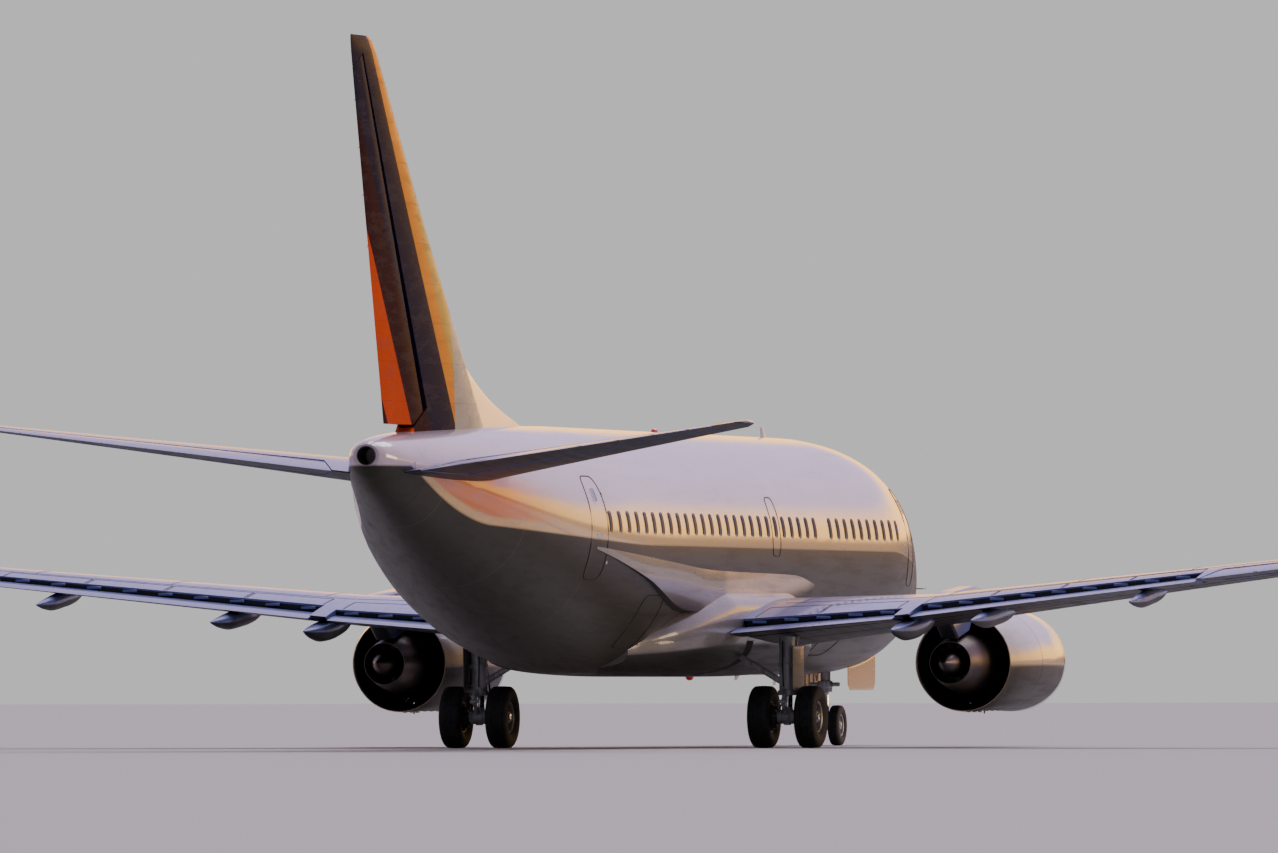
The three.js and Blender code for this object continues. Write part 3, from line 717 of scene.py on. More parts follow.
class Paint(Nodes):
    """Builds one procedural material on Object coordinates."""

    def __init__(self, name: str) -> None:
        """Starts a material with a bare surface shader.

        Args:
            name: The material's name.
        """
        self.material = bpy.data.materials.new(name)
        self.material.use_nodes = True
        super().__init__(self.material.node_tree)
        self.shader = self.tree.nodes["Principled BSDF"]
        self.place = self.node("ShaderNodeTexCoord", {}, {}, "Object")
        self.split = self.node("ShaderNodeSeparateXYZ", {}, {0: self.place}, 0).socket.node

    def axis(self, letter: str) -> Value:
        """Place along one axis, in metres."""
        return Value(self, self.split.outputs[letter])

    def stretched(self, stretch: Triple) -> Value:
        """Object coordinates made larger or smaller along each axis."""
        return self.node("ShaderNodeMapping", {}, {"Vector": self.place, "Scale": stretch}, 0)

    def noise(
        self, scale: float, detail: float = 3.0, stretch: Triple = (1, 1, 1), rough: float = 0.55
    ) -> Value:
        """Cloudy noise from nought to one.

        Args:
            scale: Clouds to the metre.
            detail: How many finer layers it has.
            stretch: How much closer it is along each axis.
            rough: Strength of each finer layer.

        Returns:
            The noise.
        """
        inputs = {"Vector": self.stretched(stretch), "Scale": scale}
        inputs |= {"Detail": detail, "Roughness": rough}
        return self.node("ShaderNodeTexNoise", {}, inputs, "Fac")

    def cells(self, scale: float) -> Value:
        """Distance to the nearest of many scattered points."""
        inputs = {"Vector": self.stretched((1, 1, 1)), "Scale": scale}
        return self.node("ShaderNodeTexVoronoi", {}, inputs, "Distance")

    def bumped(self, height: Value, depth: float, strength: float = 1.0) -> Value:
        """Turns a height into a surface direction."""
        inputs = {"Height": height, "Distance": depth, "Strength": strength}
        return self.node("ShaderNodeBump", {}, inputs, 0)

    def set(self, **sockets: object) -> None:
        """Sets the shader's sockets, named with underscores for spaces."""
        for key, value in sockets.items():
            self.feed(self.shader.inputs[key.replace("_", " ")], value)


@dataclass(frozen=True)
class GlossPaint:
    """Aircraft enamel with faint dirt streaks, plate joints and rivet rows, and painted light where
    asked: painted shade, a gold painted reflection band, a painted highlight and a gold painted sheen.
    """

    name: str
    colour: Colour
    shade: Colour
    rough: float = 0.24
    coat: float = 0.5
    joint_pitch: float = 2.54
    rivet_pitch: float = 0.508
    streak: Triple = (3.0, 0.25, 3.0)
    along: str = "Y"
    grime: float = 0.35
    # The colours below are painted light: lower is painted shade, band is a gold painted reflection, glow
    # is a painted highlight and the side colour is a gold painted sheen; turn is the upward facing under
    # which a face takes the painted shade.
    lower: Colour | None = None
    band: Colour | None = None
    glow: Colour | None = None
    sash: Colour | None = None
    turn: float = -0.22

    def facing(self, paint: Paint) -> Value:
        """How far a face looks up, from -1 to 1."""
        normal = paint.node("ShaderNodeTexCoord", {}, {}, "Normal")
        return paint.node("ShaderNodeSeparateXYZ", {}, {0: normal}, "Z")

    def below(self, paint: Paint) -> Value:
        """One where the painted shade lies: under the shade line or on faces that look down.

        Args:
            paint: The material under work.

        Returns:
            The share of the painted shade.
        """
        if self.band:
            return 1 - self.over_line(paint).above(-0.05, 0.05)
        return 1 - self.facing(paint).above(self.turn, 0.16)

    def over_line(self, paint: Paint) -> Value:
        """Height over the line where the painted shade starts, which rises to the tail and falls to the
        nose.

        Args:
            paint: The material under work.

        Returns:
            The height.
        """
        station = HALF_LENGTH - paint.axis("Y")
        rise = (station - 22.0).math("MAXIMUM", 0.0).math("POWER", 1.6) * 0.0125
        rise = rise + (station - 28.8).math("MAXIMUM", 0.0).math("POWER", 1.6) * 0.155
        fall = (6.5 - station).math("MAXIMUM", 0.0).math("POWER", 1.33) * 0.06
        return paint.axis("Z") - (rise - fall + 3.33).math("MINIMUM", 4.5)

    def make(self) -> bpy.types.Material:
        """Builds the enamel.

        Returns:
            The finished material.
        """
        paint = Paint(self.name)
        run = paint.axis(self.along)
        cloud = paint.noise(0.6, 4, (1, 0.5, 1))
        streaks = paint.noise(2.2, 5, self.streak, 0.65)
        joints = run.every(self.joint_pitch, 0.0035, 0.31)
        rows = run.every(self.rivet_pitch, 0.006, 0.055)
        studs = paint.cells(38.0).math("LESS_THAN", 0.14) * rows
        dirt = streaks.above(0.58, 0.3) * self.grime
        colour = paint.mixed(cloud.above(0.5, 0.7), self.colour, self.shade)
        rough = cloud * 0.1 + dirt * 0.25 + (self.rough - 0.05)
        coat: float | Value = self.coat
        stain: Colour | Value = dimmed(self.shade, 0.66)
        # Painted reflection: a gold band from the shade line up along the windows, deeper orange aft,
        # fading near the nose and stopping under the tailplane.
        if self.band:
            tail = (HALF_LENGTH - 25.5 - paint.axis("Y")).math("MAXIMUM", 0.0)
            line = self.over_line(paint)
            reflection_orange = tuple(c * k for c, k in zip(self.band, (1, 0.42, 0.12)))
            reflection_tone = paint.mixed(tail.above(2.0, 2.4) * line.above(0.075, 0.06), self.band, reflection_orange)
            ahead = 1 - paint.axis("Y").above(HALF_LENGTH - 4.5, 4.0)
            under_tailplane = 1 - paint.axis("Z").above(4.38, 0.2)
            share = (1 - (line - tail * 0.13).above(0.36, 0.5)) * ahead * under_tailplane
            colour = paint.mixed(share * 0.9, colour, reflection_tone)
        # Painted sheen: faces that do not look up turn gold.
        if self.sash:
            up = self.facing(paint)
            colour = paint.mixed((1 - up.above(0.3, 0.2)) * 0.85, colour, self.sash)
        # Painted highlight: a warm patch ahead of station 17.4 and above 2.45 m.
        if self.glow:
            ahead = paint.axis("Y").above(HALF_LENGTH - 17.4, 0.5)
            over_wing = paint.axis("Z").above(2.45, 0.2)
            colour = paint.mixed(ahead * over_wing, colour, self.glow)
        # Painted shade: the dark lower colour, with cloudy variation, under the shade line or on faces
        # that look down; stains there are darker, and it is rougher with no clear coat.
        if self.lower:
            under = self.below(paint)
            painted_shade_tone = paint.mixed(cloud.above(0.5, 0.7), self.lower, dimmed(self.lower, 0.82))
            colour = paint.mixed(under, colour, painted_shade_tone)
            stain = paint.mixed(under, stain, dimmed(self.lower, 0.5))
            rough = rough + under * 0.16
            coat = (1 - under) * self.coat
        colour = paint.mixed(dirt, colour, stain)
        colour = paint.mixed(joints * 0.55, colour, dimmed(self.shade, 0.35))
        ripple = paint.noise(7.0, 2, (1, 0.35, 1))
        height = ripple * 0.18 - joints - studs * 0.35
        paint.set(
            Base_Color=colour,
            Roughness=rough,
            Specular_IOR_Level=0.3,
            Coat_Weight=coat,
            Coat_Roughness=0.06,
            Normal=paint.bumped(height, 0.0012, 0.6),
        )
        return paint.material


@dataclass(frozen=True)
class BandPaint:
    """Enamel in straight slanted bands, for the fin and the rudder."""

    name: str
    ground: Colour
    bands: tuple[tuple[float, float, float, Colour], ...]
    rough: float = 0.2

    def make(self) -> bpy.types.Material:
        """Builds the banded enamel.

        Every band is a slope, the places between which it lies and a colour. The place of a
        point is its Y less the slope times its height.

        Returns:
            The finished material.
        """
        paint = Paint(self.name)
        y, z = paint.axis("Y"), paint.axis("Z")
        cloud = paint.noise(0.9, 4)
        colour = paint.mixed(cloud.above(0.5, 0.6), self.ground, dimmed(self.ground, 0.7))
        for slope, low, high, tone in self.bands:
            run = y - z * slope
            inside = run.above(low, 0.03) * (1 - run.above(high, 0.03))
            toned = paint.mixed(cloud.above(0.5, 0.6), tone, dimmed(tone, 0.8))
            colour = paint.mixed(inside, colour, toned)
        ribs = z.every(0.62, 0.003, 0.2)
        studs = paint.cells(36.0).math("LESS_THAN", 0.14) * z.every(0.62, 0.008, 0.24)
        streaks = paint.noise(3.0, 5, (4, 0.4, 2), 0.65).above(0.6, 0.3)
        colour = paint.mixed(streaks * 0.25, colour, (0.09, 0.08, 0.08))
        colour = paint.mixed(ribs * 0.5, colour, (0.03, 0.02, 0.02))
        paint.set(
            Base_Color=colour,
            Roughness=cloud * 0.1 + streaks * 0.15 + self.rough,
            Specular_IOR_Level=0.02,
            Normal=paint.bumped(paint.noise(6.0, 2) * 0.15 - ribs - studs * 0.35, 0.0012, 0.6),
        )
        return paint.material


@dataclass(frozen=True)
class BareMetal:
    """Polished or heated metal with fine turned lines and uneven tint."""

    name: str
    colour: Colour
    tint: Colour
    rough: float = 0.2
    lines: Triple = (4, 60, 4)
    depth: float = 0.0004
    soot: float = 0.0

    def make(self) -> bpy.types.Material:
        """Builds the metal.

        Returns:
            The finished material.
        """
        paint = Paint(self.name)
        cloud = paint.noise(2.5, 4)
        lines = paint.noise(3.0, 4, self.lines, 0.7)
        specks = paint.noise(40.0, 2).above(0.66, 0.1)
        colour = paint.mixed(cloud.above(0.52, 0.35), self.colour, self.tint)
        colour = paint.mixed(specks * 0.25, colour, dimmed(self.tint, 0.4))
        if self.soot:
            colour = paint.mixed(
                paint.noise(1.3, 5, (2, 1, 2)).above(0.48, 0.4) * self.soot, colour, (0.012, 0.01, 0.01)
            )
        paint.set(
            Base_Color=colour,
            Metallic=0.95,
            Roughness=lines * 0.14 + cloud * 0.08 + (self.rough - 0.06),
            Normal=paint.bumped(lines, self.depth, 0.5),
        )
        return paint.material


@dataclass(frozen=True)
class WornPaint:
    """Satin paint on cast or forged parts, with grease and chips."""

    name: str
    colour: Colour
    grease: Colour = (0.035, 0.03, 0.026)
    rough: float = 0.42
    metal: float = 0.1
    wear: float = 0.5

    def make(self) -> bpy.types.Material:
        """Builds the paint.

        Returns:
            The finished material.
        """
        paint = Paint(self.name)
        cloud = paint.noise(6.0, 5, (1, 1, 0.5), 0.65)
        runs = paint.noise(14.0, 4, (1, 1, 0.15), 0.6).above(0.56, 0.2)
        chips = paint.noise(55.0, 3).above(0.69, 0.05)
        colour = paint.mixed(cloud.above(0.5, 0.5), self.colour, dimmed(self.colour, 0.78))
        colour = paint.mixed(runs * self.wear, colour, self.grease)
        colour = paint.mixed(chips * 0.5, colour, (0.32, 0.31, 0.3))
        paint.set(
            Base_Color=colour,
            Metallic=chips * 0.6 + self.metal,
            Roughness=cloud * 0.2 + runs * 0.1 + (self.rough - 0.08),
            Normal=paint.bumped(paint.noise(90.0, 3) * 0.5 - chips, 0.0006, 0.5),
        )
        return paint.material


@dataclass(frozen=True)
class Rubber:
    """Black tyre rubber with dusty shoulders."""

    name: str
    dust: float = 0.35
    grain: float = 140.0

    def make(self) -> bpy.types.Material:
        """Builds the rubber.

        Returns:
            The finished material.
        """
        paint = Paint(self.name)
        cloud = paint.noise(7.0, 5)
        scuff = paint.noise(26.0, 4, (1, 1, 1), 0.7).above(0.55, 0.25)
        colour = paint.mixed(cloud.above(0.5, 0.4), (0.012, 0.012, 0.014), (0.028, 0.027, 0.028))
        colour = paint.mixed(scuff * self.dust, colour, (0.085, 0.078, 0.072))
        paint.set(
            Base_Color=colour,
            Roughness=cloud * 0.12 + scuff * 0.1 + 0.62,
            Specular_IOR_Level=0.35,
            Normal=paint.bumped(paint.noise(self.grain, 3) + scuff * 0.3, 0.0008, 0.6),
        )
        return paint.material


@dataclass(frozen=True)
class DarkGlass:
    """Panes seen against a dark inside, faintly smeared."""

    name: str
    colour: Colour = (0.012, 0.014, 0.02)
    glow: float = 0.0

    def make(self) -> bpy.types.Material:
        """Builds the glass.

        Returns:
            The finished material.
        """
        paint = Paint(self.name)
        smear = paint.noise(5.0, 4, (1, 0.6, 1))
        pale = tuple(c * 1.6 + 0.004 for c in self.colour)
        colour = paint.mixed(smear.above(0.5, 0.5), self.colour, pale)
        paint.set(
            Base_Color=colour,
            Roughness=smear * 0.08 + 0.04,
            Coat_Weight=1.0,
            Coat_Roughness=0.02,
            Specular_IOR_Level=0.7,
            Normal=paint.bumped(paint.noise(1.7, 1), 0.002, 0.25),
        )
        if self.glow:
            paint.set(Emission_Color=self.colour, Emission_Strength=self.glow)
        return paint.material


class Finish(Enum):
    """Every finish on the aircraft."""

    # Cabin: the lilac-pink is partly pale paint, partly a painted reflection of the sky; the dark lower
    # colour is painted shade and the gold band is a painted reflection.
    CABIN = GlossPaint(
        "cabin_enamel",
        (0.76, 0.61, 0.67),
        (0.68, 0.54, 0.6),
        rough=0.2,
        coat=0.9,
        lower=(0.045, 0.042, 0.03),
        band=(0.85, 0.56, 0.2),
    )
    PLAIN = GlossPaint("plain_enamel", (0.6, 0.57, 0.64), (0.52, 0.49, 0.56))
    # Nose gear doors: the orange is painted warm light.
    NOSE_DOOR = GlossPaint("nose_door_enamel", (0.74, 0.47, 0.22), (0.66, 0.41, 0.18))
    # Fairings: the warm glow colour is a painted highlight ahead of the wing, and the dark lower colour
    # is painted shade on faces that look down.
    FAIRING = GlossPaint(
        "fairing_enamel",
        (0.24, 0.215, 0.195),
        (0.2, 0.18, 0.165),
        rough=0.28,
        grime=0.5,
        lower=(0.04, 0.038, 0.033),
        glow=(0.66, 0.47, 0.31),
    )
    # Wings and tailplane: the blue is partly grey paint, partly a painted reflection of the sky; the dark
    # lower colour is painted shade on faces that look down.
    WING = GlossPaint(
        "wing_enamel",
        (0.16, 0.2, 0.46),
        (0.135, 0.17, 0.395),
        rough=0.3,
        joint_pitch=1.9,
        rivet_pitch=0.38,
        along="X",
        lower=(0.03, 0.03, 0.038),
    )
    # Cowls: the pink is partly pale paint, partly a painted reflection of the sky; the dark lower colour
    # is painted shade on faces that look down, and the gold on the sides is a painted sheen.
    COWL = GlossPaint(
        "cowl_enamel",
        (0.66, 0.6, 0.6),
        (0.58, 0.52, 0.53),
        coat=0.9,
        joint_pitch=50,
        rivet_pitch=0.4,
        grime=0.45,
        lower=(0.045, 0.042, 0.034),
        sash=(0.85, 0.58, 0.24),
        turn=-0.03,
    )
    FIN = BandPaint(
        "fin_bands",
        (0.04, 0.007, 0.01),
        (
            (-0.7, -10.75, -9.75, (0.7, 0.075, 0.012)),
            (-0.7, -9.0, -7.75, (0.009, 0.009, 0.034)),
            (-0.7, -7.75, -7.2, (0.8, 0.28, 0.03)),
            # The gold band over the fin's upper front is a painted reflection of the sky.
            (-0.7, -7.2, 2.0, (0.56, 0.36, 0.08)),
            (0.0, -11.35, 2.0, (0.44, 0.41, 0.34)),
        ),
    )
    LIP = BareMetal("lip_metal", (0.72, 0.71, 0.73), (0.6, 0.59, 0.62), rough=0.16)
    SLAT = BareMetal("slat_metal", (0.62, 0.62, 0.66), (0.52, 0.52, 0.57), rough=0.24, lines=(60, 4, 4))
    HOT = BareMetal("hot_metal", (0.22, 0.17, 0.14), (0.13, 0.11, 0.13), rough=0.34, soot=0.5)
    FAN = BareMetal("fan_metal", (0.24, 0.25, 0.29), (0.17, 0.18, 0.22), rough=0.28)
    CHROME = BareMetal("chrome", (0.8, 0.8, 0.82), (0.7, 0.7, 0.72), rough=0.1, lines=(4, 4, 80))
    STEEL = BareMetal("plated_steel", (0.45, 0.42, 0.34), (0.33, 0.31, 0.27), rough=0.34)
    LEG = WornPaint("leg_paint", (0.5, 0.51, 0.53))
    RIM = WornPaint("rim_paint", (0.42, 0.43, 0.45), rough=0.38, metal=0.4)
    WELL = WornPaint("well_primer", (0.16, 0.17, 0.14), rough=0.55, wear=0.7)
    BRAKE = WornPaint("brake_stack", (0.09, 0.085, 0.08), rough=0.55, metal=0.5, wear=0.6)
    LINING = WornPaint("intake_lining", (0.2, 0.2, 0.215), rough=0.5, wear=0.25)
    # The same dark liner also paints the shadow in the flap coves.
    LINER = WornPaint("duct_liner", (0.035, 0.033, 0.034), rough=0.6, wear=0.3)
    TYRE = Rubber("tyre_rubber")
    HOSE = Rubber("hose_rubber", dust=0.15)
    SEAM = Rubber("seam_sealant", dust=0.1, grain=60.0)
    PANE = DarkGlass("pane_glass")
    LAMP = DarkGlass("lamp_clear", (0.7, 0.7, 0.68))
    RED = DarkGlass("lamp_red", (0.5, 0.02, 0.015), glow=0.25)
    GREEN = DarkGlass("lamp_green", (0.02, 0.4, 0.12), glow=0.25)


class Slot(Enum):
    """The record's material slots."""

    CABIN = "cabin_skin"
    WING = "wing_skin"
    FAIRING = "fairing_skin"
    FIN = "fin_skin"
    COWL = "cowl_skin"
    LIP = "bare_lip"
    HOT = "hot_section"
    FAN = "fan_metal"
    GEAR = "gear_paint"
    RIM = "rim_metal"
    TYRE = "tyre_rubber"


USUAL_SLOT = {
    # finishes that have no slot of their own name
    Finish.PLAIN: Slot.CABIN,
    Finish.NOSE_DOOR: Slot.CABIN,
    Finish.WELL: Slot.FAIRING,
    Finish.SLAT: Slot.LIP,
    Finish.STEEL: Slot.LIP,
    Finish.LAMP: Slot.LIP,
    Finish.RED: Slot.LIP,
    Finish.GREEN: Slot.LIP,
    Finish.LINER: Slot.HOT,
    Finish.LINING: Slot.FAN,
    Finish.PANE: Slot.FAN,
    Finish.LEG: Slot.GEAR,
    Finish.CHROME: Slot.GEAR,
    Finish.BRAKE: Slot.RIM,
    Finish.HOSE: Slot.TYRE,
    Finish.SEAM: Slot.TYRE,
}


class Workshop:
    """Dresses pieces, fixes them to their bodies and keeps count."""

    def __init__(self, frame: dict[str, object]) -> None:
        """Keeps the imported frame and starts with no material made."""
        self.nodes = frame["nodes"]
        self.made: dict[Finish, bpy.types.Material] = {}

    def material(self, finish: Finish) -> bpy.types.Material:
        """Makes a finish's material once and hands it back after that.

        Args:
            finish: The finish.

        Returns:
            Its material.
        """
        if finish not in self.made:
            self.made[finish] = finish.value.make()
        return self.made[finish]

    def dress(
        self, piece: Piece, finish: Finish, *nodes: str, body: str = "airframe", slot: Slot | None = None
    ) -> None:
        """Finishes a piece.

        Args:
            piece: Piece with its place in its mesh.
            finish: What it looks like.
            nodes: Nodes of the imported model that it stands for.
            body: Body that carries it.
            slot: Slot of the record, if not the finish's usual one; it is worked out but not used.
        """
        slot = slot or USUAL_SLOT.get(finish) or Slot[finish.name]
        piece.data.materials.clear()
        piece.data.materials.append(self.material(finish))
        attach(piece, body)
        if nodes:
            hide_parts(*nodes)
        log.info("%s: %d faces on %s", piece.name, len(piece.data.polygons), body)

    def both(
        self, piece: Piece, finish: Finish, *nodes: str, body: str = "airframe", slot: Slot | None = None
    ) -> None:
        """Dresses a piece of the right side and its mirror image on the left.

        Args:
            piece: The right piece.
            finish: Its finish.
            nodes: Right CAD nodes that it replaces.
            body: Body that it moves with.
            slot: Material slot, if not the usual one.
        """
        other = Bench.mirrored(piece, piece.name.replace("_right", "_left"))
        self.dress(piece, finish, *nodes, body=body, slot=slot)
        nodes, body = [n.replace("_right", "_left") for n in nodes], body.replace("_right", "_left")
        self.dress(other, finish, *nodes, body=body, slot=slot)

    def keep(self, node: str, soft: float, angle: float = 30) -> Piece:
        """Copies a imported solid, with merged points, softened edges and smooth shading.

        Args:
            node: The CAD node.
            soft: How far its edges are softened.
            angle: Edges sharper than this many degrees stay sharp.

        Returns:
            The copy.
        """
        Bench.take(self.nodes[node])
        bpy.ops.object.duplicate(linked=False)
        piece = Bench.called(f"{node}_skin")
        piece.parent = None
        for mark in list(piece.keys()):
            del piece[mark]
        Bench.sound(piece, gap=1e-4)
        Bench.rounded(piece, soft, 4, 12)
        return Bench.smoothed(piece, angle)


BODY_TABLE: tuple[tuple[float, ...], ...] = (
    # station, top, bottom, half width, height of the widest line
    (0.0, 2.62, 2.62, 0.0, 2.62),
    (0.006, 2.66, 2.58, 0.045, 2.62),
    (0.09, 2.81, 2.43, 0.21, 2.622),
    (0.3, 2.97, 2.24, 0.4, 2.62),
    (0.62, 3.16, 2.05, 0.59, 2.63),
    (1.05, 3.4, 1.84, 0.78, 2.66),
    (1.5, 3.65, 1.67, 0.945, 2.72),
    (1.9, 3.9, 1.56, 1.065, 2.8),
    (2.4, 4.27, 1.45, 1.19, 2.9),
    (2.9, 4.53, 1.37, 1.31, 2.99),
    (3.5, 4.74, 1.3, 1.45, 3.09),
    (4.3, 4.925, 1.245, 1.62, 3.19),
    (5.3, 5.07, 1.213, 1.77, 3.27),
    (6.4, 5.152, 1.202, 1.862, 3.31),
    (7.6, 5.19, 1.2, 1.88, 3.31),
    (20.6, 5.19, 1.2, 1.88, 3.31),
    (22.2, 5.19, 1.23, 1.88, 3.335),
    (23.8, 5.172, 1.435, 1.862, 3.39),
    (25.4, 5.15, 1.795, 1.765, 3.51),
    (27.0, 5.115, 2.285, 1.55, 3.71),
    (28.6, 5.065, 2.84, 1.22, 3.97),
    (30.0, 5.008, 3.36, 0.865, 4.23),
    (31.0, 4.948, 3.76, 0.615, 4.4),
    (31.75, 4.88, 4.08, 0.415, 4.52),
    (32.08, 4.825, 4.28, 0.285, 4.58),
    (32.18, 4.775, 4.4, 0.205, 4.6),
)


FAIRING_TABLE: tuple[tuple[float, ...], ...] = (
    # station, half width, bottom, top
    (10.6, 0.9, 1.3, 2.0),
    (11.3, 1.56, 1.215, 2.35),
    (12.2, 1.9, 1.18, 2.65),
    (13.5, 2.01, 1.165, 2.8),
    (17.2, 2.01, 1.165, 2.8),
    (18.4, 1.94, 1.18, 2.62),
    (19.6, 1.7, 1.215, 2.3),
    (20.8, 1.1, 1.3, 1.9),
)


class BodyShape:
    """The fuselage's outer skin at any station."""

    def __init__(self) -> None:
        """Draws smooth lines through the table, on a scale that keeps the nose round."""
        marks = [math.sqrt(row[0]) for row in BODY_TABLE]
        self.lines = [Curve(marks, [row[k] for row in BODY_TABLE]) for k in range(1, 5)]

    def at(self, station: float) -> tuple[float, ...]:
        """Top, bottom, half width and height of the widest line at a station."""
        return tuple(line(math.sqrt(max(station, 0.0))) for line in self.lines)

    def point(self, station: float, turn: float, lift: float = 0.0) -> Vector:
        """A point of the skin.

        Args:
            station: Distance aft of the nose tip.
            turn: Angle up from the right side.
            lift: Height over the skin.

        Returns:
            The point.
        """
        top, bottom, half, waist = self.at(station)
        reach = top - waist if math.sin(turn) > 0 else waist - bottom
        return Vector(
            (
                (half + lift) * math.cos(turn),
                forward_of(station),
                waist + (reach + lift) * math.sin(turn),
            )
        )

    def turn_at(self, station: float, height: float) -> float:
        """Angle on the right side at which the skin is at a height.

        Args:
            station: Distance from the nose.
            height: The height.

        Returns:
            The angle up from the widest line.
        """
        top, bottom, _, waist = self.at(station)
        reach = top - waist if height > waist else waist - bottom
        return math.asin(clamped((height - waist) / reach, -1, 1))

    def side(self, station: float, height: float, lift: float = 0.0) -> Vector:
        """A point of the right side at a height."""
        return self.point(station, self.turn_at(station, height), lift)


BODY = BodyShape()


def squared(turn: float, power: float) -> Pair:
    """Cosine and sine of an angle, drawn out towards the corners of a square."""
    c, s = math.cos(turn), math.sin(turn)
    return math.copysign(abs(c) ** power, c), math.copysign(abs(s) ** power, s)


@dataclass
class Inlay:
    """A rounded pane, or a frame if it has a band width, that is laid on a skin many times."""

    width: float
    height: float
    lift: float
    sink: float
    round: float = 0.35
    count: int = 24
    band: float = 0.0

    def outline(self, inset: float) -> list[Pair]:
        """Points of its rounded outline about its middle, in even steps of direction.

        Args:
            inset: How far inside the outline.

        Returns:
            The points.
        """
        power = 2 / (2 + 3.2 * (1 - self.round))
        points = [squared(TAU * k / self.count, power) for k in range(self.count)]
        return [(x * (self.width / 2 - inset), z * (self.height / 2 - inset)) for x, z in points]

    def make(self, name: str, lay: Lay) -> Piece:
        """Lays it once.

        Args:
            name: Name of the piece.
            lay: Gives a point from its place along, its place up and its lift.

        Returns:
            The piece.
        """
        outer, inner = self.outline(0.0), self.outline(self.band)
        corners = ((outer, self.lift), (inner, self.lift), (inner, -self.sink), (outer, -self.sink))

        def frame(around: float, corner: float, _: float) -> Vector:
            """Lays one corner of the frame's section."""
            line, lift = corners[int(corner)]
            return lay(*line[round(around / TAU * self.count) % self.count], lift)

        def pane(around: float, share: float, lift: float) -> Vector:
            """Lays one point of the pane."""
            u, v = outer[round(around / TAU * self.count) % self.count]
            return lay(u * share, v * share, lift)

        if self.band:
            return Shapes.ring(name, [(float(k), 0.0) for k in range(4)], self.count, frame)
        profile = [(share, self.lift) for share in (0.0, 0.55, 1.0)]
        profile += [(1.0, -self.sink), (0.0, -self.sink)]
        return Shapes.turned(name, profile, self.count, pane)


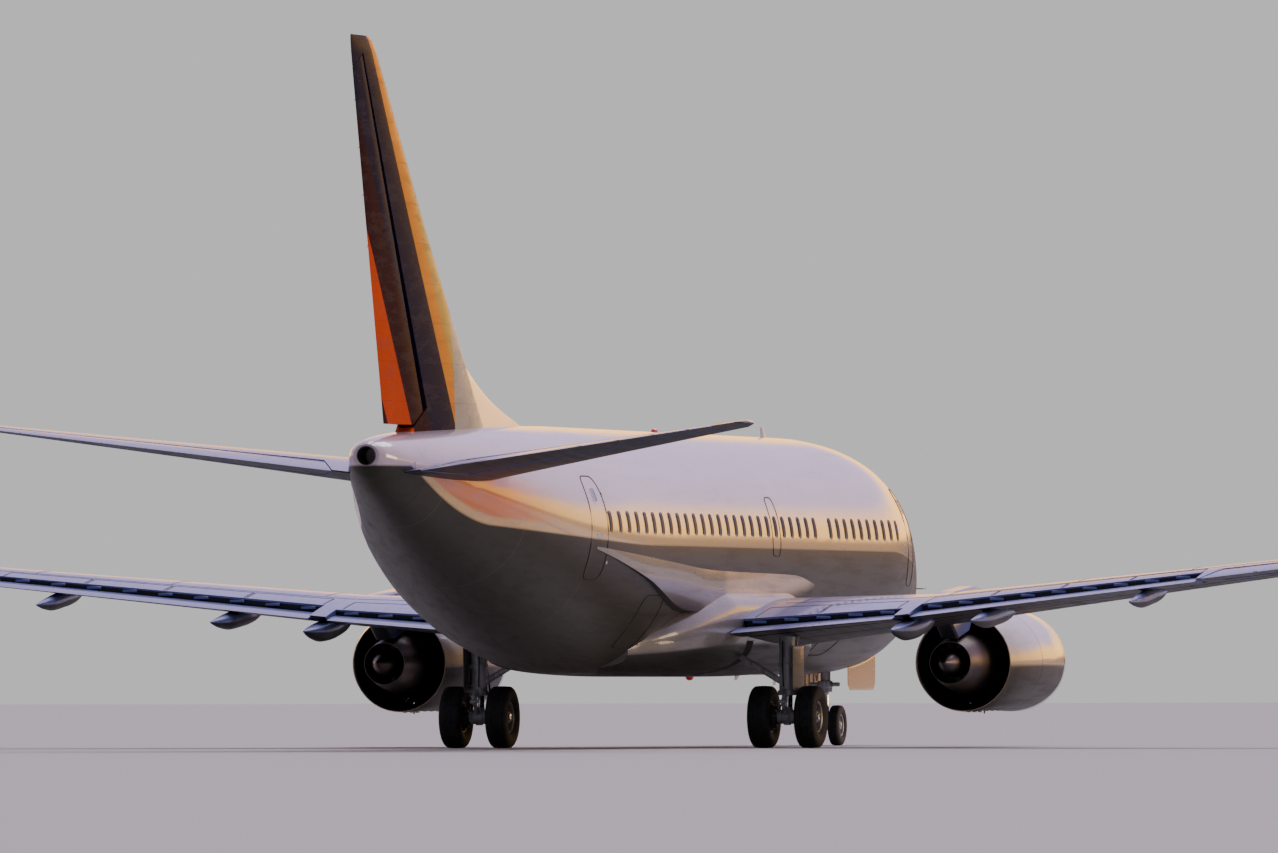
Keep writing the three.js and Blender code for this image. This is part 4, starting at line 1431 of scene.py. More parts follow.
@dataclass
class Fuselage:
    """Cabin tube with its wells, radome, tail cone, panes, doors and small fittings."""

    shop: Workshop
    around: int = 160
    radome_end: float = 1.05
    cone_start: float = 31.0
    tail_end: float = 32.18
    outlet_height: float = 4.6
    window_height: float = 3.63
    window_pitch: float = 0.508
    first_window: float = 6.2
    windows: int = 37
    exit_station: float = 14.33
    pane_depth: float = 0.034
    well_station: float = 16.5
    well_x: float = 0.69
    well_roof: float = 1.75
    well_radius: float = 0.56
    leg_slot: Triple = (1.5, 0.42, 1.44)
    nose_well_station: float = 3.35
    nose_well: Triple = (0.86, 2.0, 2.15)
    service_doors: Table = ((4.75, 3.53, 0.78, 1.66), (25.0, 3.53, 0.78, 1.66))
    entry_doors: Table = ((4.75, 3.56, 0.88, 1.84), (25.0, 3.56, 0.8, 1.84))
    hold_doors: Table = ((8.7, 1.98, 1.24, 0.92), (21.4, 2.05, 1.24, 0.86))
    exit_size: Pair = (0.52, 0.98)
    door_pane_rise: float = 0.52
    handle_drop: float = 0.12
    hinge_rise: float = 0.55
    aerials: Table = (
        (8.1, 1, 0.2, 0.32),
        (12.4, 1, 0.12, 0.26),
        (7.3, -1, 0.2, 0.3),
        (9.8, -1, 0.12, 0.3),
    )
    beacon_stations: Pair = (15.1, 12.9)
    probe_station: float = 1.9
    probe_heights: Pair = (2.45, 2.68)
    fillet_span: Pair = (11.6, 25.1)
    sides: tuple[int, int] = (1, -1)

    def rows(self, start: float, end: float) -> list[float]:
        """Stations of the skin's rings, closer where it tapers.

        Args:
            start: First station.
            end: Last station.

        Returns:
            The stations.
        """
        stations = [start]
        while stations[-1] < end - 1e-6:
            s = stations[-1]
            step = 0.02 + 0.2 * min(s, 2.2) if s < 7 else 0.6
            stations.append(min(s + min(step, 0.5), end))
        return stations

    def skin(self, name: str, start: float, end: float) -> Piece:
        """A closed stretch of the body between two stations."""
        rows = self.rows(start, end)
        return Shapes.tube(name, self.around, rows, lambda u, s: BODY.point(s, u * TAU))

    def wells(self, grow: float = 0.0) -> list[Piece]:
        """Shapes of the nose leg's slot and of the main wheels' round wells.

        Args:
            grow: How much wider than the wells they are.

        Returns:
            The shapes.
        """
        foot = (0, forward_of(self.nose_well_station), self.nose_well[2] / 2)
        cutters = [Shapes.block(foot, self.nose_well, 0.02)]
        middle, roof = forward_of(self.well_station), self.well_roof + grow
        long, wide, out = self.leg_slot
        for side in self.sides:
            x = side * self.well_x
            ends = (x, middle, 0), (x, middle, roof)
            cutters.append(Shapes.bar(*ends, self.well_radius + grow, sides=64))
            size = (long + 2 * grow, wide + 2 * grow, roof)
            cutters.append(Shapes.block((side * out, middle, roof / 2), size, 0.01))
        return cutters

    def build_skins(self) -> None:
        """The three stretches of the body."""
        tube = self.skin("cabin_skin", self.radome_end, self.cone_start)
        Bench.cut(tube, *self.wells(), self.pane_recesses())
        self.shop.dress(Bench.smoothed(tube, 28), Finish.CABIN, "fuselage")
        nose = self.skin("radome_skin", 0.0, self.radome_end - 0.004)
        self.shop.dress(Bench.smoothed(nose, 40), Finish.CABIN, "radome")
        cone = self.skin("tail_cone_skin", self.cone_start + 0.004, self.tail_end)
        y, z = forward_of(self.tail_end), self.outlet_height
        Bench.cut(cone, Shapes.bar((0, y - 0.1, z), (0, y + 0.5, z), 0.15, sides=48))
        self.shop.dress(Bench.smoothed(cone, 40), Finish.CABIN, "tail_cone")

    def build_outlet(self) -> None:
        """The band round the tail's exhaust outlet, and the sleeve inside it."""
        band = Shapes.sheet(
            "outlet_band", 64, 6, lambda u, v: BODY.point(lerp(31.96, 32.176, v), u * TAU, 0.002), 0.006
        )
        self.shop.dress(Bench.smoothed(band, 40), Finish.CABIN)
        y, z = forward_of(self.tail_end), self.outlet_height
        profile = oblong((0.135, -0.03), (0.149, 0.45), 0.004)
        sleeve = Shapes.ring(
            "outlet_sleeve", profile, 48, lambda a, r, t: (r * math.cos(a), y + t, z + r * math.sin(a))
        )
        self.shop.dress(Bench.smoothed(sleeve, 50), Finish.LINER)

    def lay_at(self, station: float, height: float, side: int) -> Lay:
        """Gives the function that lays a flat shape on the body's side.

        Args:
            station: Its middle's distance from the nose.
            height: Its middle's height.
            side: One on the right, minus one on the left.

        Returns:
            The function.
        """

        def lay(u: float, v: float, lift: float) -> Vector:
            """Lays one point."""
            p = BODY.side(station + u, height + v, lift)
            return Vector((p.x * side, p.y, p.z))

        return lay

    def window_places(self, side: int) -> list[Lay]:
        """Places of the panes, with gaps at the doors and a last one in the overwing exit.

        Args:
            side: One on the right, minus one on the left.

        Returns:
            A function for every pane.
        """
        row = [self.first_window + k * self.window_pitch for k in range(self.windows)]
        row = [s for s in row if abs(s - self.exit_station) > 0.3 and abs(s - 11.3) > 0.26]
        return [self.lay_at(s, self.window_height, side) for s in [*row, self.exit_station]]

    def pane_recesses(self) -> Piece:
        """All the shallow pockets that hold the cabin windows, as one shape to cut with.

        Returns:
            The shape.
        """
        pocket = Inlay(0.25, 0.36, 0.05, self.pane_depth + 0.004, count=20)
        places = [lay for side in self.sides for lay in self.window_places(side)]
        return Bench.joined([pocket.make("pocket", lay) for lay in places], "pockets")

    def build_windows(self) -> None:
        """Frames and panes of the cabin windows."""
        deep = self.pane_depth
        kinds = (
            ("frames", Inlay(0.249, 0.359, 0.01 - deep, deep, band=0.016), Finish.PLAIN),
            ("panes", Inlay(0.246, 0.356, 0.004 - deep, deep), Finish.PANE),
        )
        for side, word in zip(self.sides, ("right", "left")):
            for name, shape, finish in kinds:
                laid = [shape.make(name, lay) for lay in self.window_places(side)]
                self.shop.dress(Bench.joined(laid, f"window_{name}_{word}", 40), finish)

    def build_doors(self) -> None:
        """Seams, handles and small panes of the doors and hatches."""
        over_wing = (self.exit_station, self.window_height, *self.exit_size)
        right = (*self.service_doors, over_wing, *self.hold_doors)
        rows = {"right": right, "left": (*self.entry_doors, over_wing)}
        rise, drop = self.door_pane_rise, self.handle_drop
        reach = (-self.hinge_rise, self.hinge_rise)
        ring, pane = Inlay(0.2, 0.26, 0.006, 0.02, band=0.02), Inlay(0.165, 0.225, 0.0035, 0.02)
        grip, hinge = Inlay(0.26, 0.07, 0.006, 0.02, 0.2), Inlay(0.08, 0.05, 0.008, 0.02, 0.1)
        for side, word in zip(self.sides, ("right", "left")):
            seams, trim, panes = [], [], []
            for s, z, width, height in rows[word]:
                seam = Inlay(width, height, 0.006, 0.02, 0.05, 96, 0.014)
                seams.append(seam.make("seam", self.lay_at(s, z, side)))
            for s, z, width, _ in rows[word][:2]:
                edge = s - width / 2 - 0.05
                trim.append(ring.make("ring", self.lay_at(s, z + rise, side)))
                trim.append(grip.make("grip", self.lay_at(s, z - drop, side)))
                trim += [hinge.make("hinge", self.lay_at(edge, z + k, side)) for k in reach]
                panes.append(pane.make("pane", self.lay_at(s, z + rise, side)))
            self.shop.dress(Bench.joined(seams, f"door_seams_{word}", 40), Finish.SEAM)
            self.shop.dress(Bench.joined(trim, f"door_trim_{word}", 40), Finish.LIP)
            self.shop.dress(Bench.joined(panes, f"door_panes_{word}", 40), Finish.PANE)

    def patch(self, corners: Sequence[Pair], side: int, lift: float, inset: float = 0.0) -> Piece:
        """A plate on the nose between four corners given as station and angle up from the side.

        Args:
            corners: Lower front, lower back, upper back and upper front corners, in degrees.
            side: 1 on the right, -1 on the left.
            lift: Height over the skin.
            inset: Share by which the plate is drawn in from its corners.

        Returns:
            The piece.
        """
        (s0, a0), (s1, a1), (s2, a2), (s3, a3) = corners

        def surface(u: float, v: float) -> Sequence[float]:
            """A point of the plate.

            Args:
                u: Share of the way aft.
                v: Share of the way up.

            Returns:
                The point.
            """
            u, v = lerp(inset, 1 - inset, u), lerp(inset, 1 - inset, v)
            round_off = 0.02 * (abs(u - 0.5) * 2) ** 6 * (abs(v - 0.5) * 2) ** 6
            u, v = lerp(u, 0.5, round_off), lerp(v, 0.5, round_off)
            s = lerp(lerp(s0, s1, u), lerp(s3, s2, u), v)
            a = lerp(lerp(a0, a1, u), lerp(a3, a2, u), v)
            p = BODY.point(s, math.radians(a), lift)
            return (p.x * side, p.y, p.z)

        return Bench.smoothed(Shapes.sheet("patch", 8, 8, surface, 0.012), 50)

    def build_cockpit(self) -> None:
        """Six panes round the flight deck, each in its frame, with wipers."""
        panes = (
            ((1.62, 86.5), (1.94, 47.0), (2.44, 56.0), (2.2, 87.0)),
            ((2.0, 44.5), (2.62, 27.0), (2.86, 41.5), (2.5, 54.0)),
            ((2.69, 26.0), (3.2, 21.5), (3.16, 33.0), (2.92, 38.5)),
        )
        frames, glass, wipers = [], [], []
        for side in self.sides:
            for corners in panes:
                frames.append(self.patch(corners, side, 0.002))
                glass.append(self.patch(corners, side, 0.0075, 0.055))
            low = BODY.point(1.6, math.radians(80), 0.012)
            high = BODY.point(2.06, math.radians(66), 0.02)
            arm = (low, (low + high) / 2 + Vector((0, 0.01, 0.012)), high)
            wipers.append(Shapes.pipe([(p.x * side, p.y, p.z) for p in arm], 0.009))
        self.shop.dress(Bench.joined(frames, "cockpit_frames"), Finish.SEAM)
        self.shop.dress(Bench.joined(glass, "cockpit_panes"), Finish.PANE)
        self.shop.dress(Bench.joined(wipers, "cockpit_wipers"), Finish.HOSE)

    def blade(self, station: float, way: int, height: float, chord: float) -> Piece:
        """A swept blade aerial on the centre line, upwards or downwards.

        Args:
            station: Distance from the nose.
            way: One upwards, minus one downwards.
            height: How far it stands out.
            chord: Its length at the root.

        Returns:
            The aerial.
        """
        foot = BODY.point(station, way * math.pi / 2)

        def surface(u: float, v: float) -> Sequence[float]:
            """A point of the blade's skin.

            Args:
                u: Share of the way round.
                v: Share of its height.

            Returns:
                The point.
            """
            size, around = lerp(1.0, 0.55, v), TAU * u
            y = foot.y + chord / 2 * size * math.cos(around) - v * chord * 0.45
            return (0.022 * size * math.sin(around), y, foot.z + way * (v * height - 0.03))

        return Bench.smoothed(Shapes.tube("blade", 24, [0, 0.5, 0.9, 0.97, 1.0], surface), 60)

    def build_fittings(self) -> None:
        """Aerials, beacons and air probes."""
        aerials = Bench.joined([self.blade(*row) for row in self.aerials], "blade_aerials")
        self.shop.dress(aerials, Finish.PLAIN)
        above, below = self.beacon_stations
        top, under = BODY.point(above, math.pi / 2), BODY.point(below, -math.pi / 2)
        profile = evened(((0, -0.03), (0.07, -0.03), (0.07, 0.01), (0.05, 0.05), (0, 0.062)), 0.025)
        for name, y, z, way in (("beacon_top", top.y, top.z, 1), ("beacon_under", under.y, 1.165, -1)):

            def place(a: float, r: float, t: float, y: float = y, z: float = z, way: int = way) -> Triple:
                """A point of the beacon's lens."""
                return (r * math.cos(a), y + r * math.sin(a) * 1.3, z + way * t)

            lens = Bench.smoothed(Shapes.turned(name, profile, 32, place), 60)
            self.shop.dress(lens, Finish.RED, slot=Slot.FAN)
        probes = []
        for side in self.sides:
            for height in self.probe_heights:
                x, y, z = BODY.side(self.probe_station, height)
                path = ((x - 0.02, y), (x + 0.11, y + 0.06), (x + 0.115, y + 0.17))
                probes.append(Shapes.pipe([(side * out, along, z) for out, along in path], 0.014))
            x, y, z = BODY.side(2.25, 2.35)
            ends = (side * (x - 0.02), y, z), (side * (x + 0.1), y - 0.06, z)
            probes.append(Shapes.bar(*ends, 0.02, 0.008))
        self.shop.dress(Bench.joined(probes, "air_probes"), Finish.STEEL)

    def build_fillet(self) -> None:
        """The fillets behind the wing roots."""
        first, last = self.fillet_span
        crest = Curve((first, 13.0, 18.0, 21.0, last), (2.7, 2.84, 2.89, 3.02, 3.23))
        hem = Curve((first, 13.0, 18.0, 19.65, 22.3, last), (2.5, 2.3, 2.16, 2.21, 2.72, 3.19))
        marks = (first, 13.5, 16.0, 18.4, 19.65, 22.3, last)
        flare = Curve(marks, (0.0, 0.08, 0.15, 0.18, 0.14, 0.055, 0.0))

        def fillet(u: float, station: float) -> Vector:
            """A point of the fillet, which flares out to its lower edge.

            Args:
                u: Share of the way down the outside and up again inside.
                station: Distance from the nose.

            Returns:
                The point.
            """
            share = clamped(u * 2 if u < 0.5 else 2 - u * 2)
            foot = BODY.side(station, lerp(crest(station), hem(station), share))
            out = 0.005 + flare(station) * share if u < 0.5 else -0.06
            return Vector((foot.x + out, foot.y, foot.z))

        strip = Shapes.tube("root_fillet_right", 40, spread(first, last, 72), fillet)
        self.shop.both(Bench.smoothed(strip, 35), Finish.FAIRING)

    def build_belly(self) -> None:
        """The wing-to-body fairing."""
        marks = [row[0] for row in FAIRING_TABLE]
        half, bottom, top = (Curve(marks, [row[k] for row in FAIRING_TABLE]) for k in (1, 2, 3))

        def surface(u: float, station: float) -> Vector:
            """A point of the fairing's squared section.

            Args:
                u: Share of the way round.
                station: Distance from the nose.

            Returns:
                The point.
            """
            across, rise = squared(TAU * u, 0.625)
            low, high = bottom(station), top(station)
            z = (low + high) / 2 + rise * (high - low) / 2
            return Vector((across * half(station), forward_of(station), z))

        skin = Shapes.tube("belly_fairing_skin", 128, spread(marks[0], marks[-1], 68), surface)
        Bench.cut(skin, *self.wells(0.004))
        self.shop.dress(Bench.smoothed(skin, 32), Finish.FAIRING, "belly_fairing")

    def build_wells(self) -> None:
        """Ribs and pipes inside the wheel wells."""
        ribs, pipes = [], []
        for k in range(7):
            y = forward_of(2.5 + 0.28 * k)
            ribs += [Shapes.block((side * 0.418, y, 1.84), (0.024, 0.03, 0.58)) for side in self.sides]
            ribs.append(Shapes.block((0, y, 2.135), (0.83, 0.03, 0.024)))
        for k in range(3):
            x = 0.3 - 0.05 * k
            path = ((x, 2.4, 2.1), (x, 3.4, 2.09), (x - 0.05, 4.3, 2.1))
            pipes.append(Shapes.pipe([(x, forward_of(s), z) for x, s, z in path], 0.011))
        middle = forward_of(self.well_station)
        for side in self.sides:

            def spot(radius: float, turn: float, side: int = side) -> Pair:
                """A place in the well, told from its middle."""
                return side * self.well_x + radius * math.cos(turn), middle + radius * math.sin(turn)

            for k in range(14):
                turn = TAU * k / 14 + 0.2
                foot = spot(0.54, turn)
                if abs(foot[0]) < 1.1:
                    ribs.append(Shapes.bar((*foot, 1.3), (*foot, 1.74), 0.016, sides=12, bevel=0.003))
                spoke = (*spot(0.12, turn), 1.735), (*foot, 1.735)
                ribs.append(Shapes.bar(*spoke, 0.012, sides=12, bevel=0.002))
            centre = spot(0.0, 0.0)
            ribs.append(Shapes.bar((*centre, 1.7), (*centre, 1.745), 0.13, sides=40, bevel=0.01))
            for radius in (0.3, 0.35, 0.4):
                path = [spot(radius, turn, 1) for turn in (0.4, 1.2, 2.0, 2.8)]
                pipes.append(Shapes.pipe([(side * x, y, 1.715) for x, y in path], 0.009))
        self.shop.dress(Bench.joined(ribs, "well_ribs", 35), Finish.WELL)
        self.shop.dress(Bench.joined(pipes, "well_pipes"), Finish.STEEL)

    def build(self) -> None:
        """Makes the whole sub-assembly."""
        self.build_skins()
        self.build_windows()
        self.build_doors()
        self.build_cockpit()
        self.build_fittings()
        self.build_outlet()
        self.build_fillet()
        self.build_belly()
        self.build_wells()


BLUNT_EDGE = 0.0028


def half_thickness(f: float, t: float) -> float:
    """Half an aerofoil's thickness at a share of the chord, as a share of the chord."""
    curve = 0.2969 * math.sqrt(f) - 0.126 * f - 0.3516 * f**2 + 0.2843 * f**3 - 0.1036 * f**4
    return 5 * t * curve + BLUNT_EDGE * f


def around_chord(u: float) -> tuple[float, int]:
    """Share of the chord and side of the skin at a share of the way round a section.

    Args:
        u: Share of the way round.

    Returns:
        The share, and one above or minus one below.
    """
    if u <= 0.5:
        return (1 - math.cos(math.pi * (1 - 2 * u))) / 2, 1
    return (1 - math.cos(math.pi * (2 * u - 1))) / 2, -1


@dataclass(frozen=True)
class Planform:
    """A tapered surface: place out, leading edge's station, chord, height and thickness."""

    table: tuple[tuple[float, float, float, float, float], ...]
    camber: float = 0.0
    incidence: float = 0.0

    def point(self, x: float, f: float, side: int = 0, lift: float = 0.0) -> Vector:
        """A point of the surface.

        Args:
            x: Place out along the span.
            f: Share of the chord.
            side: 1 for the upper skin, -1 for the lower and 0 for the camber line.
            lift: Height over the skin, or over the camber line.

        Returns:
            The point.
        """
        _, le, chord, z, t = linear(self.table, x)
        rise = 4 * self.camber * f * (1 - f) * chord
        tilt = (0.4 - f) * chord * math.sin(self.incidence)
        away = side * (half_thickness(f, t) * chord + lift) if side else lift
        return Vector((x, forward_of(le + f * chord), z + rise + tilt + away))

    def skin(self, u: float, x: float) -> Vector:
        """A point of the closed skin, at a share of the way round its section."""
        return self.point(x, *around_chord(u))

    def cover(
        self,
        name: str,
        faces: tuple[int, int],
        span: Pair,
        across: Line,
        lift: float,
        thick: float,
        stand: Mover = Vector,
    ) -> Piece:
        """A thin cover laid round the leading edge.

        Args:
            name: Name of the piece.
            faces: Faces across it and along it.
            span: Where it starts and ends along the span.
            across: Gives the root of the chord's share at a share across, minus on the lower skin.
            lift: Height over the skin.
            thick: Thickness of the cover.
            stand: Turns a point into its place on the aircraft.

        Returns:
            The piece.
        """

        def surface(u: float, v: float) -> Sequence[float]:
            """A point of the cover, from the lower skin round the nose to the upper."""
            share = across(u)
            return stand(self.point(lerp(*span, v), share**2, 1 if share > 0 else -1, lift))

        return Bench.smoothed(Shapes.sheet(name, *faces, surface, thick), 50)

    def thickness(self, x: float, f: float) -> float:
        """Half the thickness at a place out and a share of the chord."""
        _, _, chord, _, t = linear(self.table, x)
        return half_thickness(f, t) * chord

    def rows(self, start: float, end: float, step: float) -> list[float]:
        """Places out with a ring of points, which take in every row of the table.

        Args:
            start: First place out.
            end: Last place out.
            step: About how far apart they are.

        Returns:
            The places.
        """
        marks = [start, *(row[0] for row in self.table if start < row[0] < end), end]
        places = []
        for a, b in zip(marks, marks[1:]):
            count = max(round((b - a) / step), 1)
            places += [lerp(a, b, k / count) for k in range(count)]
        return places + [end]


WING = Planform(
    (
        (1.2, 11.15, 6.6, 1.93, 0.128),
        (1.95, 11.7, 6.1, 1.985, 0.128),
        (4.9, 13.76, 4.2, 2.205, 0.122),
        (9.7, 16.266, 2.892, 2.71, 0.112),
        (14.14, 18.584, 1.682, 3.176, 0.108),
        (14.36, 18.78, 1.5, 3.199, 0.09),
        (HALF_SPAN, 19.01, 1.2, 3.208, 0.05),
    ),
    0.014,
    math.radians(1.2),
)
TAILPLANE = Planform(
    (
        (0.3, 27.55, 4.0, 4.33, 0.1),
        (0.9, 27.95, 3.72, 4.4, 0.1),
        (6.1, 31.86, 1.3, 5.06, 0.08),
        (6.26, 32.26, 1.09, 5.077, 0.07),
        (6.35, 32.9, 0.5, 5.085, 0.06),
    )
)
FIN = Planform(
    (
        (4.7, 25.32, 5.755, 0.0, 0.1),
        (5.23, 25.88, 5.36, 0.0, 0.1),
        (8.2, 29.02, 3.147, 0.0, 0.1),
        (10.86, 31.65, 1.348, 0.0, 0.1),
        (11.05, 31.86, 1.18, 0.0, 0.08),
        (11.13, 32.08, 0.96, 0.0, 0.04),
    )
)


def upright(p: Vector) -> Vector:
    """Stands a surface of the fin's planform up: its span becomes height."""
    return Vector((p.z, p.y, p.x))


@dataclass
class Surface:
    """A hinged surface in its own frame, with a round nose and straight skins."""

    plan: Planform
    start: float
    end: float
    hinge: float
    normal: Triple
    stand: Mover = lambda p: p
    gap: float = 0.012
    nose_share: float = 0.93
    edge: float = 0.005
    around: int = 20

    def __post_init__(self) -> None:
        """Works out the hinge's frame."""
        self.foot = self.stand(self.plan.point(self.start, self.hinge))
        tip = self.stand(self.plan.point(self.end, self.hinge))
        self.length = (tip - self.foot).length
        self.u = (tip - self.foot).normalized()
        normal = Vector(self.normal)
        self.w = (normal - self.u * normal.dot(self.u)).normalized()
        self.v = self.w.cross(self.u)
        if self.v.y > 0:
            self.v = -self.v
        self.trail = [self.stand(self.plan.point(x, 1.0)) for x in (self.start, self.end)]
        self.noses = [
            self.plan.thickness(x, self.hinge) * self.nose_share for x in (self.start, self.end)
        ]

    def place(self, u: float, v: float, w: float) -> Vector:
        """A point at a place along the hinge, aft of it and off it."""
        return self.foot + self.u * u + self.v * v + self.w * w

    def trail_at(self, u: float) -> Pair:
        """How far aft and how high the trailing edge is.

        Args:
            u: Distance along the hinge.

        Returns:
            Place fore and aft, and height.
        """
        a, b = self.trail
        ua, ub = (a - self.foot).dot(self.u), (b - self.foot).dot(self.u)
        p = a.lerp(b, (u - ua) / (ub - ua)) - self.foot
        return p.dot(self.v), p.dot(self.w)

    def ring_point(self, u: float, k: int) -> Vector:
        """One point of the section's outline, counted from the upper nose round to the tail.

        Args:
            u: Distance along the hinge.
            k: Which point.

        Returns:
            The point.
        """
        nose = lerp(self.noses[0], self.noses[1], u / self.length)
        aft, high = self.trail_at(u)
        arc = self.around - 8
        if k <= arc:
            turn = math.pi / 2 + k / arc * math.pi
            return self.place(u, nose * math.cos(turn), nose * math.sin(turn))
        way = k - arc
        low = (0, -nose) if way <= 4 else (aft, high + self.edge)
        end = (aft, high - self.edge) if way <= 4 else (0, nose)
        t = way / 4 if way <= 4 else (way - 4.5) / 3.5
        return self.place(u, lerp(low[0], end[0], t), lerp(low[1], end[1], t))

    def skin(self, name: str) -> Piece:
        """The moving surface itself, with the bar that it turns on.

        Args:
            name: Its name.

        Returns:
            The surface.
        """
        rows, count = spread(self.gap, self.length - self.gap, 8), self.around
        leaf = Shapes.tube(name, count, rows, lambda u, v: self.ring_point(v, round(u * count)))
        ends = [self.place(u, 0, 0)[:] for u in (0.001, self.length - 0.001)]
        pin = Shapes.bar(*ends, min(self.noses) * 0.42, sides=20)
        return Bench.joined([leaf, pin], name, 30)

    def wicks(self, name: str, shares: Sequence[float], reach: float) -> Piece:
        """Static wicks along the trailing edge.

        Args:
            name: Their name.
            shares: Shares of the hinge's length.
            reach: How long they are.

        Returns:
            The wicks.
        """
        wicks = []
        for share in shares:
            u = self.length * share
            aft, high = self.trail_at(u)
            ends = [self.place(u, aft + away, high)[:] for away in (-0.02, reach)]
            wicks.append(Shapes.bar(*ends, 0.005, 0.0025, 8))
        return Bench.joined(wicks, name)

    def bay(self) -> Piece:
        """The room that it leaves in the fixed surface, as a shape to cut with.

        Returns:
            The shape.
        """
        corners = ((-1, -1), (-1, 1), (4, 1), (4, -1))

        def surface(u: float, v: float) -> Vector:
            """A corner of the room.

            Args:
                u: Share of the way round.
                v: Distance along the hinge.

            Returns:
                The point.
            """
            a, b = corners[round(u * 4)]
            nose = lerp(self.noses[0], self.noses[1], v / self.length) + self.gap
            return self.place(v, a * nose if a < 0 else a, b)

        return Shapes.tube("bay", 4, [0.0, self.length], surface)


@dataclass
class Wing:
    """One wing with its flaps, aileron, leading-edge slats, fairings and lamps, and its mirror."""

    shop: Workshop
    plan: Planform = WING
    around: int = 72
    seam_gap: float = 0.04
    flaps: tuple[tuple[str, float, float, float, float], ...] = (
        ("inboard", 1.9, 4.8, 0.79, 0.86),
        ("outboard", 5.06, 10.15, 0.69, 0.79),
    )
    slats: tuple[Pair, ...] = ((5.62, 7.66), (7.7, 9.74), (9.78, 11.82), (11.86, 13.9))
    nose_flaps: tuple[Pair, ...] = ((2.35, 3.3), (3.34, 4.2))
    fairings: tuple[tuple[str, float, float, float, float, float, float], ...] = (
        ("inner", 4.95, 1.1, 1.75, 0.19, 0.32, 0.12),
        ("middle", 6.4, 1.4, 1.75, 0.14, 0.28, 0.12),
        ("outer", 9.18, 1.2, 1.5, 0.115, 0.25, 0.14),
    )
    root: float = 1.5
    flap_root: float = 2.02
    flap_gap: float = 0.025
    flap_thickness: float = 0.13
    flap_camber: float = 0.01
    bracket: Triple = (0.24, 0.055, 0.05)
    bracket_pitch: float = 0.56
    spoilers: Table = ((2.2, 3.3, 4.7), (5.1, 6.3, 7.56, 8.8, 10.1))
    spoiler_fronts: Pair = (0.68, 0.62)
    spoiler_backs: Pair = (0.845, 0.775)
    panel_ends: tuple[float, ...] = (2.6, 5.3, 7.68, 9.76, 11.84, 13.95)
    lids: int = 17
    first_lid: float = 5.6
    lid_pitch: float = 0.48
    lid_share: float = 0.36
    tip_lamp: Pair = (14.05, 14.33)
    root_lamp: Pair = (2.06, 2.3)
    wick_places: Triple = (13.72, 13.92, 14.1)
    aileron: Surface = field(default_factory=lambda: Surface(WING, 10.42, 13.65, 0.745, (0, 0, 1)))

    def flap_bay(self, start: float, end: float, lower: float, upper: float) -> Piece:
        """The room that a flap leaves, as a shape to cut with.

        Args:
            start: Inner end.
            end: Outer end.
            lower: Chord share of its front below.
            upper: Chord share of its front above.

        Returns:
            The shape.
        """

        def surface(u: float, x: float) -> Vector:
            """A corner of the room.

            Args:
                u: Share of the way round.
                x: Place out.

            Returns:
                The point.
            """
            chord = linear(self.plan.table, x)[2]
            low = self.plan.point(x, lower, 0, -self.plan.thickness(x, lower) * 1.05)
            high = self.plan.point(x, upper, 0, self.plan.thickness(x, upper) * 0.72)
            up = Vector((0, 0, 0.35 * chord))
            back = Vector((0, -1.2 * chord, 0))
            return (low, high, high + up, high + up + back, low - up + back, low - up)[round(u * 6)]

        return Shapes.tube("bay", 6, [start, end], surface)

    def build_box(self) -> None:
        """The fixed wing."""
        rows = self.plan.rows(self.root, HALF_SPAN, 0.8)
        box = Shapes.tube("wing_right_skin", self.around, rows, self.plan.skin)
        Bench.cut(box, *(self.flap_bay(*row[1:]) for row in self.flaps), self.aileron.bay())
        self.shop.both(Bench.smoothed(box, 24), Finish.WING, "wing_right")

    def build_flaps(self) -> None:
        """Flaps and ailerons."""
        for name, start, end, _, upper in self.flaps:

            def surface(u: float, x: float, upper: float = upper) -> Vector:
                """A point of the flap's skin.

                Args:
                    u: Share of the way round.
                    x: Place out.
                    upper: Chord share of the skin's edge.

                Returns:
                    The point.
                """
                nose = self.plan.point(x, upper - 0.035, 0, -self.plan.thickness(x, upper) * 0.75)
                back = self.plan.point(x, 1.012, 0, -0.045) - nose
                up = Vector((0, back.z, -back.y)).normalized()
                f, side = around_chord(u)
                camber = 4 * self.flap_camber * f * (1 - f)
                rise = camber + side * half_thickness(f, self.flap_thickness)
                return nose + back * f + up * rise * back.length

            rows = spread(max(start + self.flap_gap, self.flap_root), end - self.flap_gap, 8)
            flap = Shapes.tube(f"flap_{name}_right_skin", 48, rows, surface)
            self.shop.both(Bench.smoothed(flap, 30), Finish.WING, f"flap_{name}_right")
        aileron = self.aileron.skin("aileron_right_skin")
        self.shop.both(aileron, Finish.WING, "aileron_right", body="aileron_right")

    def build_coves(self) -> None:
        """Painted shadow in the coves between the fixed skin and the flaps: dark walls, crossed by light
        brackets.
        """
        cove_shadows, brackets = [], []
        for _, start, end, _, upper in self.flaps:
            span = (max(start + 0.03, 2.06), end - 0.03)

            def wall(u: float, v: float, span: Pair = span, upper: float = upper) -> Vector:
                """A point of the dark back wall that paints the cove's shadow.

                Args:
                    u: Share of the way down.
                    v: Share of the way out.
                    span: Both ends of the flap.
                    upper: Chord share of the skin's edge.

                Returns:
                    The point.
                """
                x = lerp(*span, v)
                lift = lerp(0.66, -0.1, u) * self.plan.thickness(x, upper)
                return self.plan.point(x, upper + 0.0012 - 0.006 * u, 0, lift)

